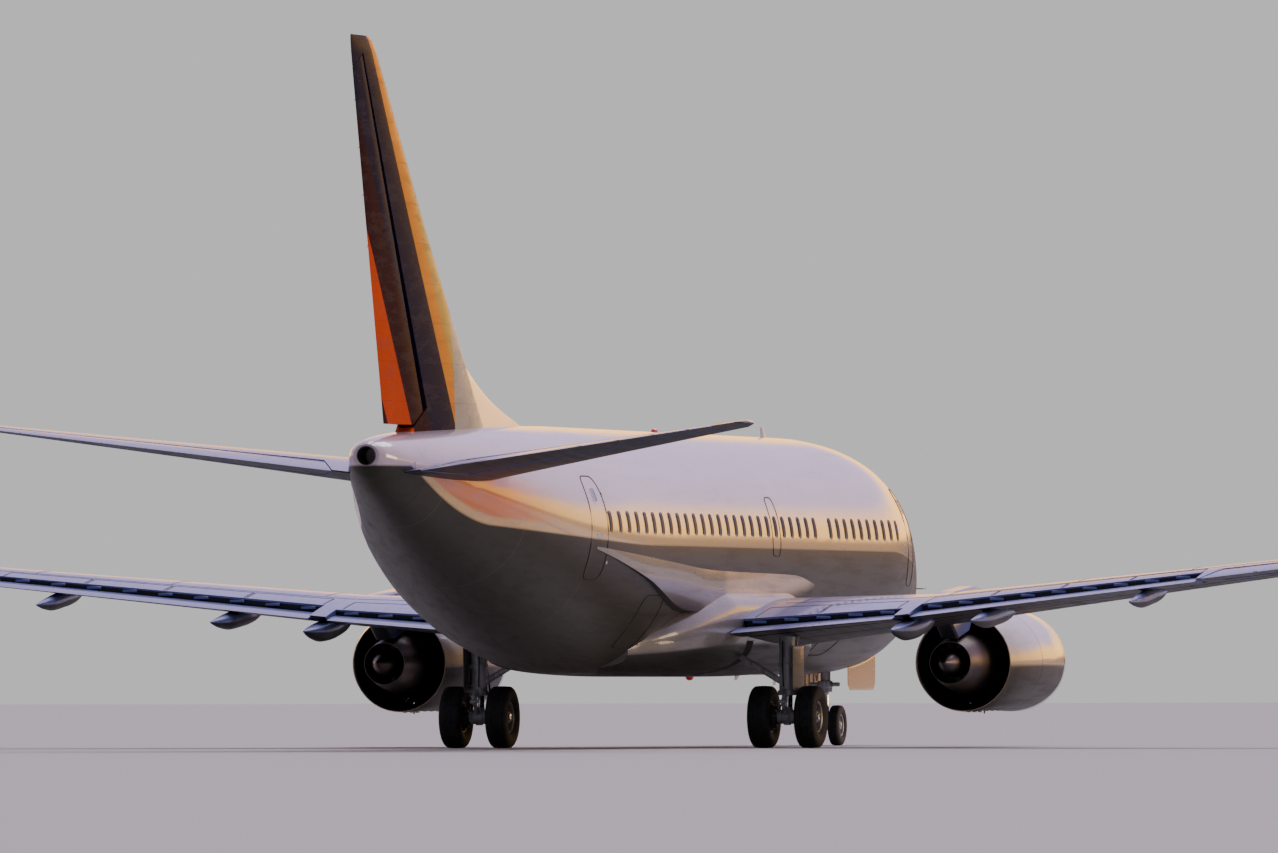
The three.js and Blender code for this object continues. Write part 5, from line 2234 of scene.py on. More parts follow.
            cove_shadows.append(Shapes.sheet("cove", 3, 24, wall, 0.004))
            x = max(start + 0.25, 2.3)
            while x < end - 0.2:
                skin = self.plan.point(x, upper, 0, 0.58 * self.plan.thickness(x, upper))
                middle = (x, skin.y - 0.028, skin.z - 0.02)
                brackets.append(Shapes.block(middle, self.bracket, 0.012))
                x += self.bracket_pitch
        self.shop.both(Bench.joined(cove_shadows, "flap_coves_right"), Finish.LINER, slot=Slot.WING)
        self.shop.both(Bench.joined(brackets, "cove_brackets_right"), Finish.WING)

    def build_fairings(self) -> None:
        """Canoes under the wing that hide the flap tracks."""
        shares = (0, 0.02, 0.08, 0.25, 0.45, 0.65, 0.85, 0.97, 1)
        size_at = Curve(shares, (0.0, 0.16, 0.4, 0.82, 1, 0.92, 0.55, 0.2, 0.1))
        for name, x, front, back, half, depth, droop in self.fairings:
            nose, ahead = self.plan.point(x, 0.76), self.plan.point(x, 0.5)
            lean = (ahead.z - nose.z) / (ahead.y - nose.y)

            def surface(u: float, f: float) -> Vector:
                """A point of the canoe.

                Args:
                    u: Share of the way round.
                    f: Share of its length.

                Returns:
                    The point.
                """
                aft, size, rise = f * (front + back) - front, size_at(f), math.sin(TAU * u)
                z = nose.z - 0.09 + (-aft * lean if aft < 0 else -aft * droop) - 0.06 * size
                z += (0.09 if rise > 0 else depth - 0.06) * size * rise
                return Vector((x + half * size * math.cos(TAU * u), nose.y - aft, z))

            canoe = Shapes.tube(f"flap_fairing_{name}_right_skin", 32, spread(0, 1, 32), surface)
            self.shop.both(Bench.smoothed(canoe, 40), Finish.WING, f"flap_fairing_{name}_right")

    def build_slats(self) -> None:
        """Polished leading-edge slats and the inner nose flaps, laid closely over the skin."""
        rows = (
            ("slats_right", self.slats, lambda u: lerp(-math.sqrt(0.05), math.sqrt(0.13), u)),
            ("nose_flaps_right", self.nose_flaps, lambda u: -math.sqrt(lerp(0.07, 0.008, u))),
        )
        for name, spans, across in rows:
            covers = [self.plan.cover("slat", (16, 10), span, across, 0.004, 0.007) for span in spans]
            self.shop.both(Bench.joined(covers, name, 50), Finish.SLAT)

    def strip(self, path: Sequence[Pair], side: int, width: float) -> list[Piece]:
        """Thin sealant strips on the skin along straight runs of (place out, chord share).

        Args:
            path: Corners of the run.
            side: One above, minus one below.
            width: How wide it is.

        Returns:
            The strips.
        """
        pieces = []
        for (x0, f0), (x1, f1) in zip(path, path[1:]):
            run = self.plan.point(x1, f1) - self.plan.point(x0, f0)
            off = Vector((-run.y, run.x, 0)).normalized() * width / 2

            def surface(u: float, v: float) -> Vector:
                """A point of the strip."""
                p = self.plan.point(lerp(x0, x1, v), lerp(f0, f1, v), side, 0.0012)
                return p + off * (2 * u - 1)

            pieces.append(Shapes.sheet("strip", 1, 12, surface, 0.004))
        return pieces

    def build_seams(self) -> None:
        """Seams of slats, spoilers, hatches and trailing panels."""
        pieces = []
        for row, front, back in zip(self.spoilers, self.spoiler_fronts, self.spoiler_backs):
            for k, (start, end) in enumerate(zip(row, row[1:])):
                start += self.seam_gap if k else 0.0
                edge = [(start, back), (start, front), (end, front), (end, back)]
                pieces += self.strip(edge, 1, 0.016)
        for x in self.panel_ends:
            pieces += self.strip([(x, 0.15), (x, 0.56)], 1, 0.008)
            pieces += self.strip([(x, 0.15), (x, 0.6)], -1, 0.008)
        for f in (0.15, 0.58):
            for side in (1, -1):
                pieces += self.strip([(x, f) for x in (2.3, 4.9, 9.7, 14.0)], side, 0.008)
        self.shop.both(Bench.joined(pieces, "wing_seams_right"), Finish.SEAM)
        lids, ring = [], Inlay(0.24, 0.4, 0.0015, 0.004, 1.0, 28, 0.01)
        for k in range(self.lids):
            middle = self.first_lid + k * self.lid_pitch
            chord = linear(self.plan.table, middle)[2]

            def lay(u: float, v: float, lift: float, x: float = middle, chord: float = chord) -> Vector:
                """A point of the lid's ring on the lower skin."""
                return self.plan.point(x + u, self.lid_share + v / chord, -1, lift)

            lids.append(ring.make("lid", lay))
        self.shop.both(Bench.joined(lids, "tank_lids_right"), Finish.SEAM)

    def build_lamps(self) -> None:
        """Tip lamps, root lamps and static wicks."""
        for word, way, finish in (("right", 1, Finish.GREEN), ("left", -1, Finish.RED)):

            def stand(p: Vector, way: int = way) -> Triple:
                """Puts a point on the lamp's own side."""
                return (p.x * way, p.y, p.z)

            row = (f"tip_lamp_{word}", (14, 6), self.tip_lamp, lambda u: lerp(-0.22, 0.26, u))
            self.shop.dress(self.plan.cover(*row, 0.004, 0.006, stand), finish)
        row = ("root_lamp_right", (14, 6), self.root_lamp, lambda u: lerp(-0.17, 0.2, u))
        self.shop.both(self.plan.cover(*row, 0.004, 0.006), Finish.LAMP)
        wicks = []
        for x in self.wick_places:
            tail = self.plan.point(x, 0.995)
            wicks.append(Shapes.bar(tail[:], (x + 0.01, tail.y - 0.11, tail.z - 0.01), 0.005, 0.0025, 8))
        self.shop.both(Bench.joined(wicks, "wing_wicks_right"), Finish.HOSE)
        wicks = self.aileron.wicks("aileron_wicks_right", (0.3, 0.5, 0.7, 0.9), 0.11)
        self.shop.both(wicks, Finish.HOSE, body="aileron_right")

    def build(self) -> None:
        """Makes both wings."""
        self.build_box()
        self.build_flaps()
        self.build_coves()
        self.build_fairings()
        self.build_slats()
        self.build_seams()
        self.build_lamps()


@dataclass
class Tail:
    """Fin, rudder, dorsal fin, tailplane and elevators."""

    shop: Workshop
    around: int = 56
    rudder: Surface = field(default_factory=lambda: Surface(FIN, 5.3, 10.83, 0.68, (1, 0, 0), upright))
    elevator: Surface = field(default_factory=lambda: Surface(TAILPLANE, 1.13, 5.95, 0.7, (0, 0, 1)))
    rudder_foot: float = 5.11
    fin_span: Pair = (4.82, 11.13)
    half_span: Pair = (0.34, 6.35)
    ramp_span: Pair = (23.3, 27.25)
    ramp_foot: float = 4.95
    plate_span: Pair = (27.35, 31.3)
    plate_height: float = 4.42
    plate_reach: float = 0.42
    wick_shares: tuple[float, ...] = (0.55, 0.68, 0.8, 0.92)
    wick_length: float = 0.1

    def build_fin(self) -> None:
        """The fixed fin and its dorsal ramp."""
        rows = FIN.rows(*self.fin_span, 0.5)
        fin = Shapes.tube("fin_skin", self.around, rows, lambda u, z: upright(FIN.skin(u, z)))
        Bench.cut(fin, self.rudder.bay())
        self.shop.dress(Bench.smoothed(fin, 26), Finish.FIN, "fin")
        ramp = Shapes.tube("dorsal_fin_skin", 24, spread(0, 1, 24), self.dorsal_point)
        self.shop.dress(Bench.smoothed(ramp, 40), Finish.CABIN, "dorsal_fin")

    def dorsal_point(self, u: float, v: float) -> Vector:
        """A point of the low ramp ahead of the fin.

        Args:
            u: Share of the way round.
            v: Share of the way aft.

        Returns:
            The point.
        """
        marks, low = (0.0, 0.4367, 0.8734, 1.0), self.ramp_foot
        crest = Curve(marks, (5.18, 5.5464, 6.18, 6.53))(v)
        half = Curve(marks, (0.02, 0.0825, 0.12, 0.15))(v)
        rise = math.sin(TAU * u)
        share = max(rise, 0.0)
        height = lerp(low, crest, share) if rise > 0 else low + rise * 0.02
        x = half * 1.3 * math.cos(TAU * u) * (1 - 0.45 * share)
        return Vector((x, forward_of(lerp(*self.ramp_span, v)), height))

    def build_rudder(self) -> None:
        """The rudder, cut level at its foot."""
        rudder = self.rudder.skin("rudder_skin")
        Bench.cut(rudder, Shapes.block((0, -14, self.rudder_foot - 1.0), (2, 6, 2.0), 0.001))
        self.shop.dress(Bench.smoothed(rudder, 30), Finish.FIN, "rudder", body="rudder")

    def build_tailplane(self) -> None:
        """Both tailplane halves and their elevators."""
        rows = TAILPLANE.rows(*self.half_span, 0.6)
        half = Shapes.tube("tailplane_right_skin", self.around, rows, TAILPLANE.skin)
        Bench.cut(half, self.elevator.bay())
        self.shop.both(Bench.smoothed(half, 26), Finish.WING, "tailplane_right")
        elevator = self.elevator.skin("elevator_right_skin")
        self.shop.both(elevator, Finish.WING, "elevator_right", body="elevator_right")

    def scuff(self, u: float, v: float) -> Vector:
        """A point of the plate round the tailplane's root.

        Args:
            u: Share of the way aft.
            v: Share of the way up.

        Returns:
            The point.
        """
        station = lerp(*self.plate_span, u)
        reach = self.plate_reach * math.sin(math.pi * clamped(u * 0.94 + 0.03)) ** 0.5
        turn = BODY.turn_at(station, self.plate_height)
        return BODY.point(station, turn + (v - 0.5) * 2 * reach / BODY.at(station)[2] * 0.8, 0.003)

    def build_fittings(self) -> None:
        """Static wicks, the root's plates and the polished leading edges."""
        row = (self.wick_shares, self.wick_length)
        self.shop.dress(self.rudder.wicks("rudder_wicks", *row), Finish.HOSE, body="rudder")
        wicks = self.elevator.wicks("elevator_wicks_right", *row)
        self.shop.both(wicks, Finish.HOSE, body="elevator_right")
        plate = Shapes.sheet("scuff_plate_right", 30, 10, self.scuff, 0.004)
        self.shop.both(Bench.smoothed(plate, 50), Finish.CABIN)
        row = ("tailplane_edge_right", (14, 24), (1.3, 6.05), lambda u: lerp(-0.2, 0.2, u))
        self.shop.both(TAILPLANE.cover(*row, 0.003, 0.005), Finish.SLAT)
        row = ("fin_edge", (14, 24), (6.75, 10.8), lambda u: lerp(-0.17, 0.17, u))
        self.shop.dress(FIN.cover(*row, 0.003, 0.005, upright), Finish.SLAT)

    def build(self) -> None:
        """Makes the whole tail."""
        self.build_fin()
        self.build_rudder()
        self.build_tailplane()
        self.build_fittings()


@dataclass
class Engine:
    """The right engine on its pylon, and its mirror image.

    Distances along are forward of the bypass nozzle's rim, and radii are from the fan's axis.
    """

    shop: Workshop
    axis_x: float = 4.83
    axis_y: float = 3.21
    axis_z: float = 1.39
    duct: float = 0.77
    nozzle: float = 0.8
    cowl: float = 1.015
    flat_below: float = 0.225
    flat_above: float = 0.09
    around: int = 96
    blades: int = 24
    vanes: int = 36
    struts: int = 12
    lip_span: Pair = (3.04, 3.4)
    cowl_span: Pair = (1.352, 3.036)
    sleeve_span: Pair = (0.0, 1.348)
    core_span: Pair = (-0.9, 1.3)
    spinner_tip: float = 2.88
    strake_span: Pair = (2.62, 1.85)
    strake_turn: float = 140.0
    strake_height: float = 0.2

    def round_point(self, around: float, radius: float, along: float) -> Vector:
        """A point turned about the fan's axis."""
        out, up = radius * math.cos(around), radius * math.sin(around)
        return Vector((self.axis_x + out, self.axis_y + along, self.axis_z + up))

    def flat_point(self, around: float, radius: float, along: float) -> Vector:
        """A point of the cowls, which are flattened below while the duct stays round.

        Args:
            around: Angle round the axis.
            radius: Radius where it is round.
            along: Place fore and aft.

        Returns:
            The point.
        """
        share = clamped((radius - self.nozzle) / (self.cowl - self.nozzle))
        out, up = radius * math.cos(around), radius * math.sin(around)
        up *= 1 - share * (self.flat_below if up < 0 else self.flat_above)
        return Vector((self.axis_x + out, self.axis_y + along, self.axis_z + up))

    def build_cowls(self) -> None:
        """Intake lip, fan cowl, reverser sleeve and core cowl."""
        back, front = self.lip_span
        outer_lip = Curve((back, 3.2, 3.33, 3.385, front), (0.9525, 0.932, 0.9, 0.876, 0.852))
        inner_lip = Curve((back, 3.23, 3.36, 3.39, front), (0.77, 0.776, 0.806, 0.826, 0.852))
        marks = (0.0, 0.35, 0.9, 1.35, 2.15, 2.7, back)
        skin = Curve(marks, (0.8, 0.905, 0.985, 1.0105, 1.015, 0.985, 0.9525))
        duct = Curve((0.0, 0.5, 1.35), (0.786, 0.771, 0.77))
        core_out = Curve((-0.9, -0.3, 0.3, 0.9, 1.3), (0.35, 0.455, 0.53, 0.56, 0.545))
        core_in = Curve((-0.9, -0.35, 0.3, 1.3), (0.338, 0.4, 0.43, 0.43))

        def walls(outer: Line, inner: Line, runs: Sequence[float], *edge: Pair) -> list[Pair]:
            """Section of a shell, along its outside, over its edge and back along its inside."""
            return [(outer(y), y) for y in runs] + [*edge] + [(inner(y), y) for y in reversed(runs)]

        lip = (back, 3.08, 3.13, 3.19, 3.25, 3.3, 3.34, 3.37, 3.388, 3.397)
        fixed = walls(skin, lambda y: self.duct, spread(*self.cowl_span, 20))
        rows = (
            ("inlet_lip", walls(outer_lip, inner_lip, lip, (0.852, front)), Finish.LIP),
            ("fan_cowl", fixed, Finish.COWL),
            ("reverser_sleeve", walls(skin, duct, spread(*self.sleeve_span, 18)), Finish.COWL),
            ("core_cowl", walls(core_out, core_in, spread(*self.core_span, 22)), Finish.HOT),
        )
        for name, profile, finish in rows:
            place = self.round_point if name == "core_cowl" else self.flat_point
            piece = Shapes.ring(f"{name}_right_skin", profile, self.around, place)
            self.shop.both(Bench.smoothed(piece, 32), finish, f"{name}_right")

    def build_core(self) -> None:
        """Core block, exhaust plug, guide vanes and the turbine's rear frame."""
        block = ((0, 2.15), (0.3, 2.15), (0.42, 1.9), (0.428, 1.3), (0.428, 0.3), (0.398, -0.34))
        block += ((0, -0.34),)
        plug = ((0, -0.3), (0.235, -0.3), (0.24, -0.7), (0.15, -1.1), (0.04, -1.35), (0, -1.36))
        vane = self.vane(0.42, 0.768, 1.95, 0.23, 0.012, -0.72, 0.0, 1.1)
        strut = self.vane(0.23, 0.335, -0.62, 0.16, 0.02, 0.1, 0.05)
        pieces = [
            Shapes.turned("block", evened(block, 0.03), 64, self.round_point),
            Shapes.turned("plug", evened(plug, 0.14), 64, self.round_point),
            *self.repeated(vane, self.vanes),
            *self.repeated(strut, self.struts),
        ]
        made = Bench.joined(pieces, "engine_core_right_skin", 32)
        self.shop.both(made, Finish.HOT, "engine_core_right")

    def vane(
        self,
        root: float,
        tip: float,
        along: float,
        chord: float,
        thick: float,
        turn: float,
        more: float,
        wide: float = 1.0,
    ) -> Piece:
        """A twisted blade that stands up from the axis.

        Args:
            root: Radius of its foot.
            tip: Radius of its end.
            along: Place of its middle along the axis.
            chord: Length of its section.
            thick: Thickness of its section.
            turn: Angle of the section at the foot.
            more: Angle by which it twists up to the tip.
            wide: Chord at the tip as a share of the chord at the foot.

        Returns:
            The blade.
        """

        def surface(u: float, r: float) -> Vector:
            """A point of the blade's skin.

            Args:
                u: Share of the way round.
                r: Radius.

            Returns:
                The point.
            """
            share = (r - root) / (tip - root)
            angle = turn + more * share
            around = TAU * u
            a = chord / 2 * math.cos(around)
            b = thick / 2 * math.sin(around) + 0.08 * chord * (1 - (2 * a / chord) ** 2)
            a = a * lerp(1.0, wide, share)
            across = a * math.sin(angle) + b * math.cos(angle)
            ahead = a * math.cos(angle) - b * math.sin(angle)
            return Vector((self.axis_x + across, self.axis_y + along + ahead, self.axis_z + r))

        rows = [lerp(root, tip, k / 5) for k in range(6)]
        return Bench.smoothed(Shapes.tube("vane", 12, rows, surface), 50)

    def repeated(self, piece: Piece, count: int) -> list[Piece]:
        """Copies a blade round the axis.

        Args:
            piece: The blade.
            count: How many there are.

        Returns:
            The blades.
        """
        centre = Vector((self.axis_x, self.axis_y, self.axis_z))
        pieces = [piece]
        for k in range(1, count):
            turn = Matrix.Rotation(TAU * k / count, 3, "Y")
            pieces.append(Bench.copied(piece, "vane", lambda p, t=turn: centre + t @ (p - centre)))
        return pieces

    def build_fan(self) -> None:
        """Spinner and wide blades."""
        marks = (2.48, 2.68, 2.8, 2.85, 2.874, self.spinner_tip)
        nose = Curve(marks, (0.255, 0.18, 0.105, 0.06, 0.024, 0.0))
        runs = (2.48, 2.54, 2.6, 2.66, 2.72, 2.77, 2.81, 2.84, 2.86, 2.872)
        profile = [(0.0, 2.151), (0.07, 2.151), (0.07, 2.19), (0.245, 2.19), (0.255, 2.2), (0.255, 2.34)]
        profile += [(nose(y), y) for y in runs] + [(0.0, self.spinner_tip)]
        spinner = Shapes.turned("spinner", profile, 64, self.round_point)
        blade = self.vane(0.24, 0.757, 2.35, 0.165, 0.016, 0.42, 0.5, 1.5)
        fan = Bench.joined([spinner, *self.repeated(blade, self.blades)], "fan_right_skin", 35)
        self.shop.both(fan, Finish.FAN, "fan_right", body="fan_right")

        def mark(u: float, v: float) -> Vector:
            """A point of the pale curl that shows whether the fan turns.

            Args:
                u: Share of the way across.
                v: Share of the way to the tip.

            Returns:
                The point.
            """
            along = lerp(2.845, 2.53, v)
            turn = 2.6 * v + (0.13 + 0.22 * math.sin(math.pi * v)) * (u - 0.5)
            return self.round_point(turn, nose(along) + 0.0015, along)

        curl = Bench.smoothed(Shapes.sheet("spinner_curl_right", 6, 20, mark, 0.002), 50)
        self.shop.both(curl, Finish.PLAIN, body="fan_right")

    def build_liners(self) -> None:
        """Dark liners of the duct and the seams of the cowls."""
        seams = []
        for skin, along in ((1.0108, 1.35), (0.953, 3.04)):
            low, high = (skin - 0.012, along - 0.006), (skin + 0.0012, along + 0.006)
            profile = oblong(low, high, 0.001, 2)
            seams.append(Shapes.ring("seam", profile, self.around, self.flat_point))
        self.shop.both(Bench.joined(seams, "cowl_seams_right"), Finish.SEAM)
        rows = (
            ("duct_liner_right", (0.7665, 0.03), (0.7695, 1.84), Finish.LINER),
            ("intake_liner_right", (0.7662, 2.5), (0.7695, 3.038), Finish.LINING),
        )
        for name, low, high, finish in rows:
            liner = Shapes.ring(name, oblong(low, high, 0.001, 2), self.around, self.round_point)
            self.shop.both(Bench.smoothed(liner, 40), finish)

    def build_latches(self) -> None:
        """Latches and the drain mast under the cowls, and the small fin on their inner shoulder."""
        latches = []
        for radius, length, sink, marks in (
            (1.0, 0.11, 0.01, (1.55, 1.95, 2.35, 2.75)),
            (0.95, 0.1, 0.0, (0.35, 0.75, 1.1)),
        ):
            for along in marks:
                foot = self.flat_point(-math.pi / 2, radius, along)
                foot.z += sink
                latches.append(Shapes.block(foot[:], (0.05, length, 0.03), 0.006))
        x, y = self.axis_x, self.axis_y
        latches.append(Shapes.bar((x + 0.06, y + 1.2, 0.66), (x + 0.07, y + 1.12, 0.56), 0.022, 0.014))
        self.shop.both(Bench.joined(latches, "cowl_latches_right"), Finish.STEEL)
        turn = math.radians(self.strake_turn)
        out = Vector((math.cos(turn), 0, math.sin(turn)))

        def strake(u: float, v: float) -> Vector:
            """A point of the fin."""
            foot, rise = self.flat_point(turn, 0.985, lerp(*self.strake_span, u)), v * self.strake_height
            return foot + out * (rise * math.sin(math.pi * min(u * 0.9 + 0.06, 1.0)) - 0.02)

        fin = Bench.smoothed(Shapes.sheet("cowl_strake_right", 16, 4, strake, 0.012), 50)
        self.shop.both(fin, Finish.COWL)

    def build_pylon(self) -> None:
        """The pylon as packed, with softened edges."""
        self.shop.both(self.shop.keep("pylon_right", 0.05, 40), Finish.WING, "pylon_right")

    def build(self) -> None:
        """Makes both engines."""
        self.build_cowls()
        self.build_core()
        self.build_fan()
        self.build_liners()
        self.build_latches()
        self.build_pylon()


@dataclass(frozen=True)
class WheelSize:
    """Sizes of a tyre and its rim."""

    radius: float
    width: float
    rim: float
    twin: float
    axle: float
    grooves: int
    holes: int


MAIN_WHEEL = WheelSize(0.508, 0.368, 0.255, 0.79, 0.07, 4, 9)
NOSE_WHEEL = WheelSize(0.343, 0.197, 0.19, 0.41, 0.038, 3, 8)


@dataclass
class Wheel:
    """Tyre, rim, tie bolts and brake of one wheel, on an axle that lies across."""

    shop: Workshop
    size: WheelSize
    x: float
    y: float
    out: int

    def point(self, around: float, radius: float, along: float) -> Vector:
        """A point turned about the axle; along is positive away from the strut."""
        ahead, up = radius * math.cos(around), radius * math.sin(around)
        return Vector((self.x + along * self.out, self.y + ahead, self.size.radius + up))

    def tyre(self, name: str) -> Piece:
        """The tyre with its tread grooves.

        Args:
            name: Its name.

        Returns:
            The tyre.
        """
        size = self.size
        half, crown, foot = size.width / 2, size.radius, size.rim + 0.0015
        tread, wide, deep = half * 0.56, 0.011, 0.009
        pitch = tread * 2 / (size.grooves + 1)
        side = ((0.6, -0.9), (0.74, -1.0), (0.82, -0.985), (0.9, -0.93), (0.95, -0.85), (0.985, -0.72))
        profile = [(foot, -half * 0.72)] + [(crown * r, half * w) for r, w in side]
        for k in range(size.grooves):
            at = -tread + pitch * (k + 1)
            top = crown * (1 - 0.012 * (at / tread) ** 2)
            profile += [(top, at - wide / 2), (top - deep, at - wide / 3)]
            profile += [(top - deep, at + wide / 3), (top, at + wide / 2)]
        profile += [(crown * r, -half * w) for r, w in reversed(side)] + [(foot, half * 0.72)]
        return Bench.smoothed(Shapes.ring(name, profile, 72, self.point), 34)

    def hub(self, name: str) -> Piece:
        """The rim with its lightening holes and tie bolts.

        Args:
            name: Its name.

        Returns:
            The rim.
        """
        size = self.size
        half, bore, rim = size.width / 2, size.axle + 0.0012, size.rim
        outline = (
            (bore, half * 0.62),
            (rim * 0.36, half * 0.62),
            (rim * 0.42, half * 0.34),
            (rim * 0.84, half * 0.22),
            (rim * 0.88, half * 0.62),
            (rim - 0.002, half * 0.72),
            (rim, half * 0.69),
            (rim, -half * 0.69),
            (rim - 0.002, -half * 0.72),
            (rim * 0.92, -half * 0.7),
            (rim * 0.88, -half * 0.1),
            (rim * 0.42, half * 0.02),
            (rim * 0.36, -half * 0.62),
            (bore, -half * 0.62),
        )
        disc = Shapes.ring(name, refined(outline, 0.006, 3), 64, self.point)
        middle = rim * 0.64
        holes, bolts = [], []
        for k in range(size.holes):
            turn, between = TAU * k / size.holes, TAU * (k + 0.5) / size.holes
            ends = [self.point(turn, middle, reach)[:] for reach in (-half * 0.4, half * 0.7)]
            holes.append(Shapes.bar(*ends, rim * 0.12, sides=20))
            reaches = (half * 0.2, half * 0.27 + 0.016)
            ends = [self.point(between, middle * 1.08, reach)[:] for reach in reaches]
            bolts.append(Shapes.bar(*ends, rim * 0.045, sides=6))
        Bench.cut(disc, Bench.joined(holes, "holes"))
        return Bench.joined([disc, *bolts], name, 32)

    def build(self, place: str, prefix: str, body: str) -> None:
        """Makes the wheel and fixes it to the body that turns.

        Args:
            place: Which of the pair, in the node's word.
            prefix: Start of the node's name.
            body: The body.
        """
        for part, make, finish in (("tyre", self.tyre, Finish.TYRE), ("hub", self.hub, Finish.RIM)):
            node = f"{prefix}_{part}_{place}"
            self.shop.dress(make(f"{node}_skin"), finish, node, body=body)


@dataclass
class GearDoor:
    """An upright door panel that hangs beside a leg, with its pressings on the inside."""

    shop: Workshop
    name: str
    inside: float
    width: float
    span: Pair
    foot: float
    corner: float
    head: Line

    def low(self, y: float) -> float:
        """Height of the lower edge, which rounds up at both ends.

        Args:
            y: Place fore and aft.

        Returns:
            The height.
        """
        middle, half = sum(self.span) / 2, (self.span[1] - self.span[0]) / 2
        over = clamped((abs(y - middle) - half + self.corner) / self.corner)
        return self.foot + self.corner * (1 - math.sqrt(1 - over**2))

    def panel(self, name: str, inset: float, place: float, thickness: float) -> Piece:
        """A leaf of the door, smaller than its outline by an inset.

        Args:
            name: Its name.
            inset: How far inside the outline.
            place: How far outside the door's inner face.
            thickness: How thick it is.

        Returns:
            The leaf.
        """

        def surface(u: float, v: float) -> Vector:
            """A point of the leaf, which bows outwards in the middle.

            Args:
                u: Share of the way along.
                v: Share of the way up.

            Returns:
                The point.
            """
            y = lerp(self.span[0] + inset, self.span[1] - inset, (1 - math.cos(math.pi * u)) / 2)
            z = lerp(self.low(y) + inset, self.head(y) - inset * 0.4, v)
            bow = self.width * 0.22 * math.sin(math.pi * u)
            return Vector((self.inside + place + bow, y, z))

        leaf = Shapes.sheet(name, 48, 14, surface, thickness)
        return Bench.smoothed(Bench.rounded(leaf, thickness * 0.3), 40)

    def build(
        self, outer: Finish, rods: Sequence[tuple[Triple, Triple]], slot: Slot | None = None
    ) -> None:
        """Makes both doors, their inner pressings and their rods.

        Args:
            outer: Finish of the outside.
            rods: Both ends of every rod.
            slot: Material slot, if not the usual one.
        """
        skin = self.panel(f"{self.name}_right_skin", 0.0, self.width * 0.58, self.width * 0.34)
        self.shop.both(skin, outer, f"{self.name}_right")
        a, b = self.span
        x, middle = self.inside + self.width * 0.27, (a + b) / 2
        parts = []
        for y in spread(a + 0.06, b - 0.06, 6):
            low, high = self.low(y) + 0.03, self.head(y) - 0.03
            size = (self.width * 0.4, 0.02, high - low)
            parts.append(Shapes.block((x, y, (low + high) / 2), size, 0.002))
        for share, short in ((0.2, 0.6), (0.8, 0.0)):
            z = lerp(self.foot, self.head(middle), share)
            size = (self.width * 0.44, b - a - 0.12 - self.corner * short, 0.022)
            parts.append(Shapes.block((x, middle, z), size, 0.002))
        self.shop.both(Bench.joined(parts, f"{self.name}_ribs_right"), Finish.WELL, slot=slot)
        bars = [Shapes.bar(p, q, 0.015, sides=20, bevel=0.003) for p, q in rods]
        self.shop.both(Bench.joined(bars, f"{self.name}_rods_right", 40), Finish.STEEL)


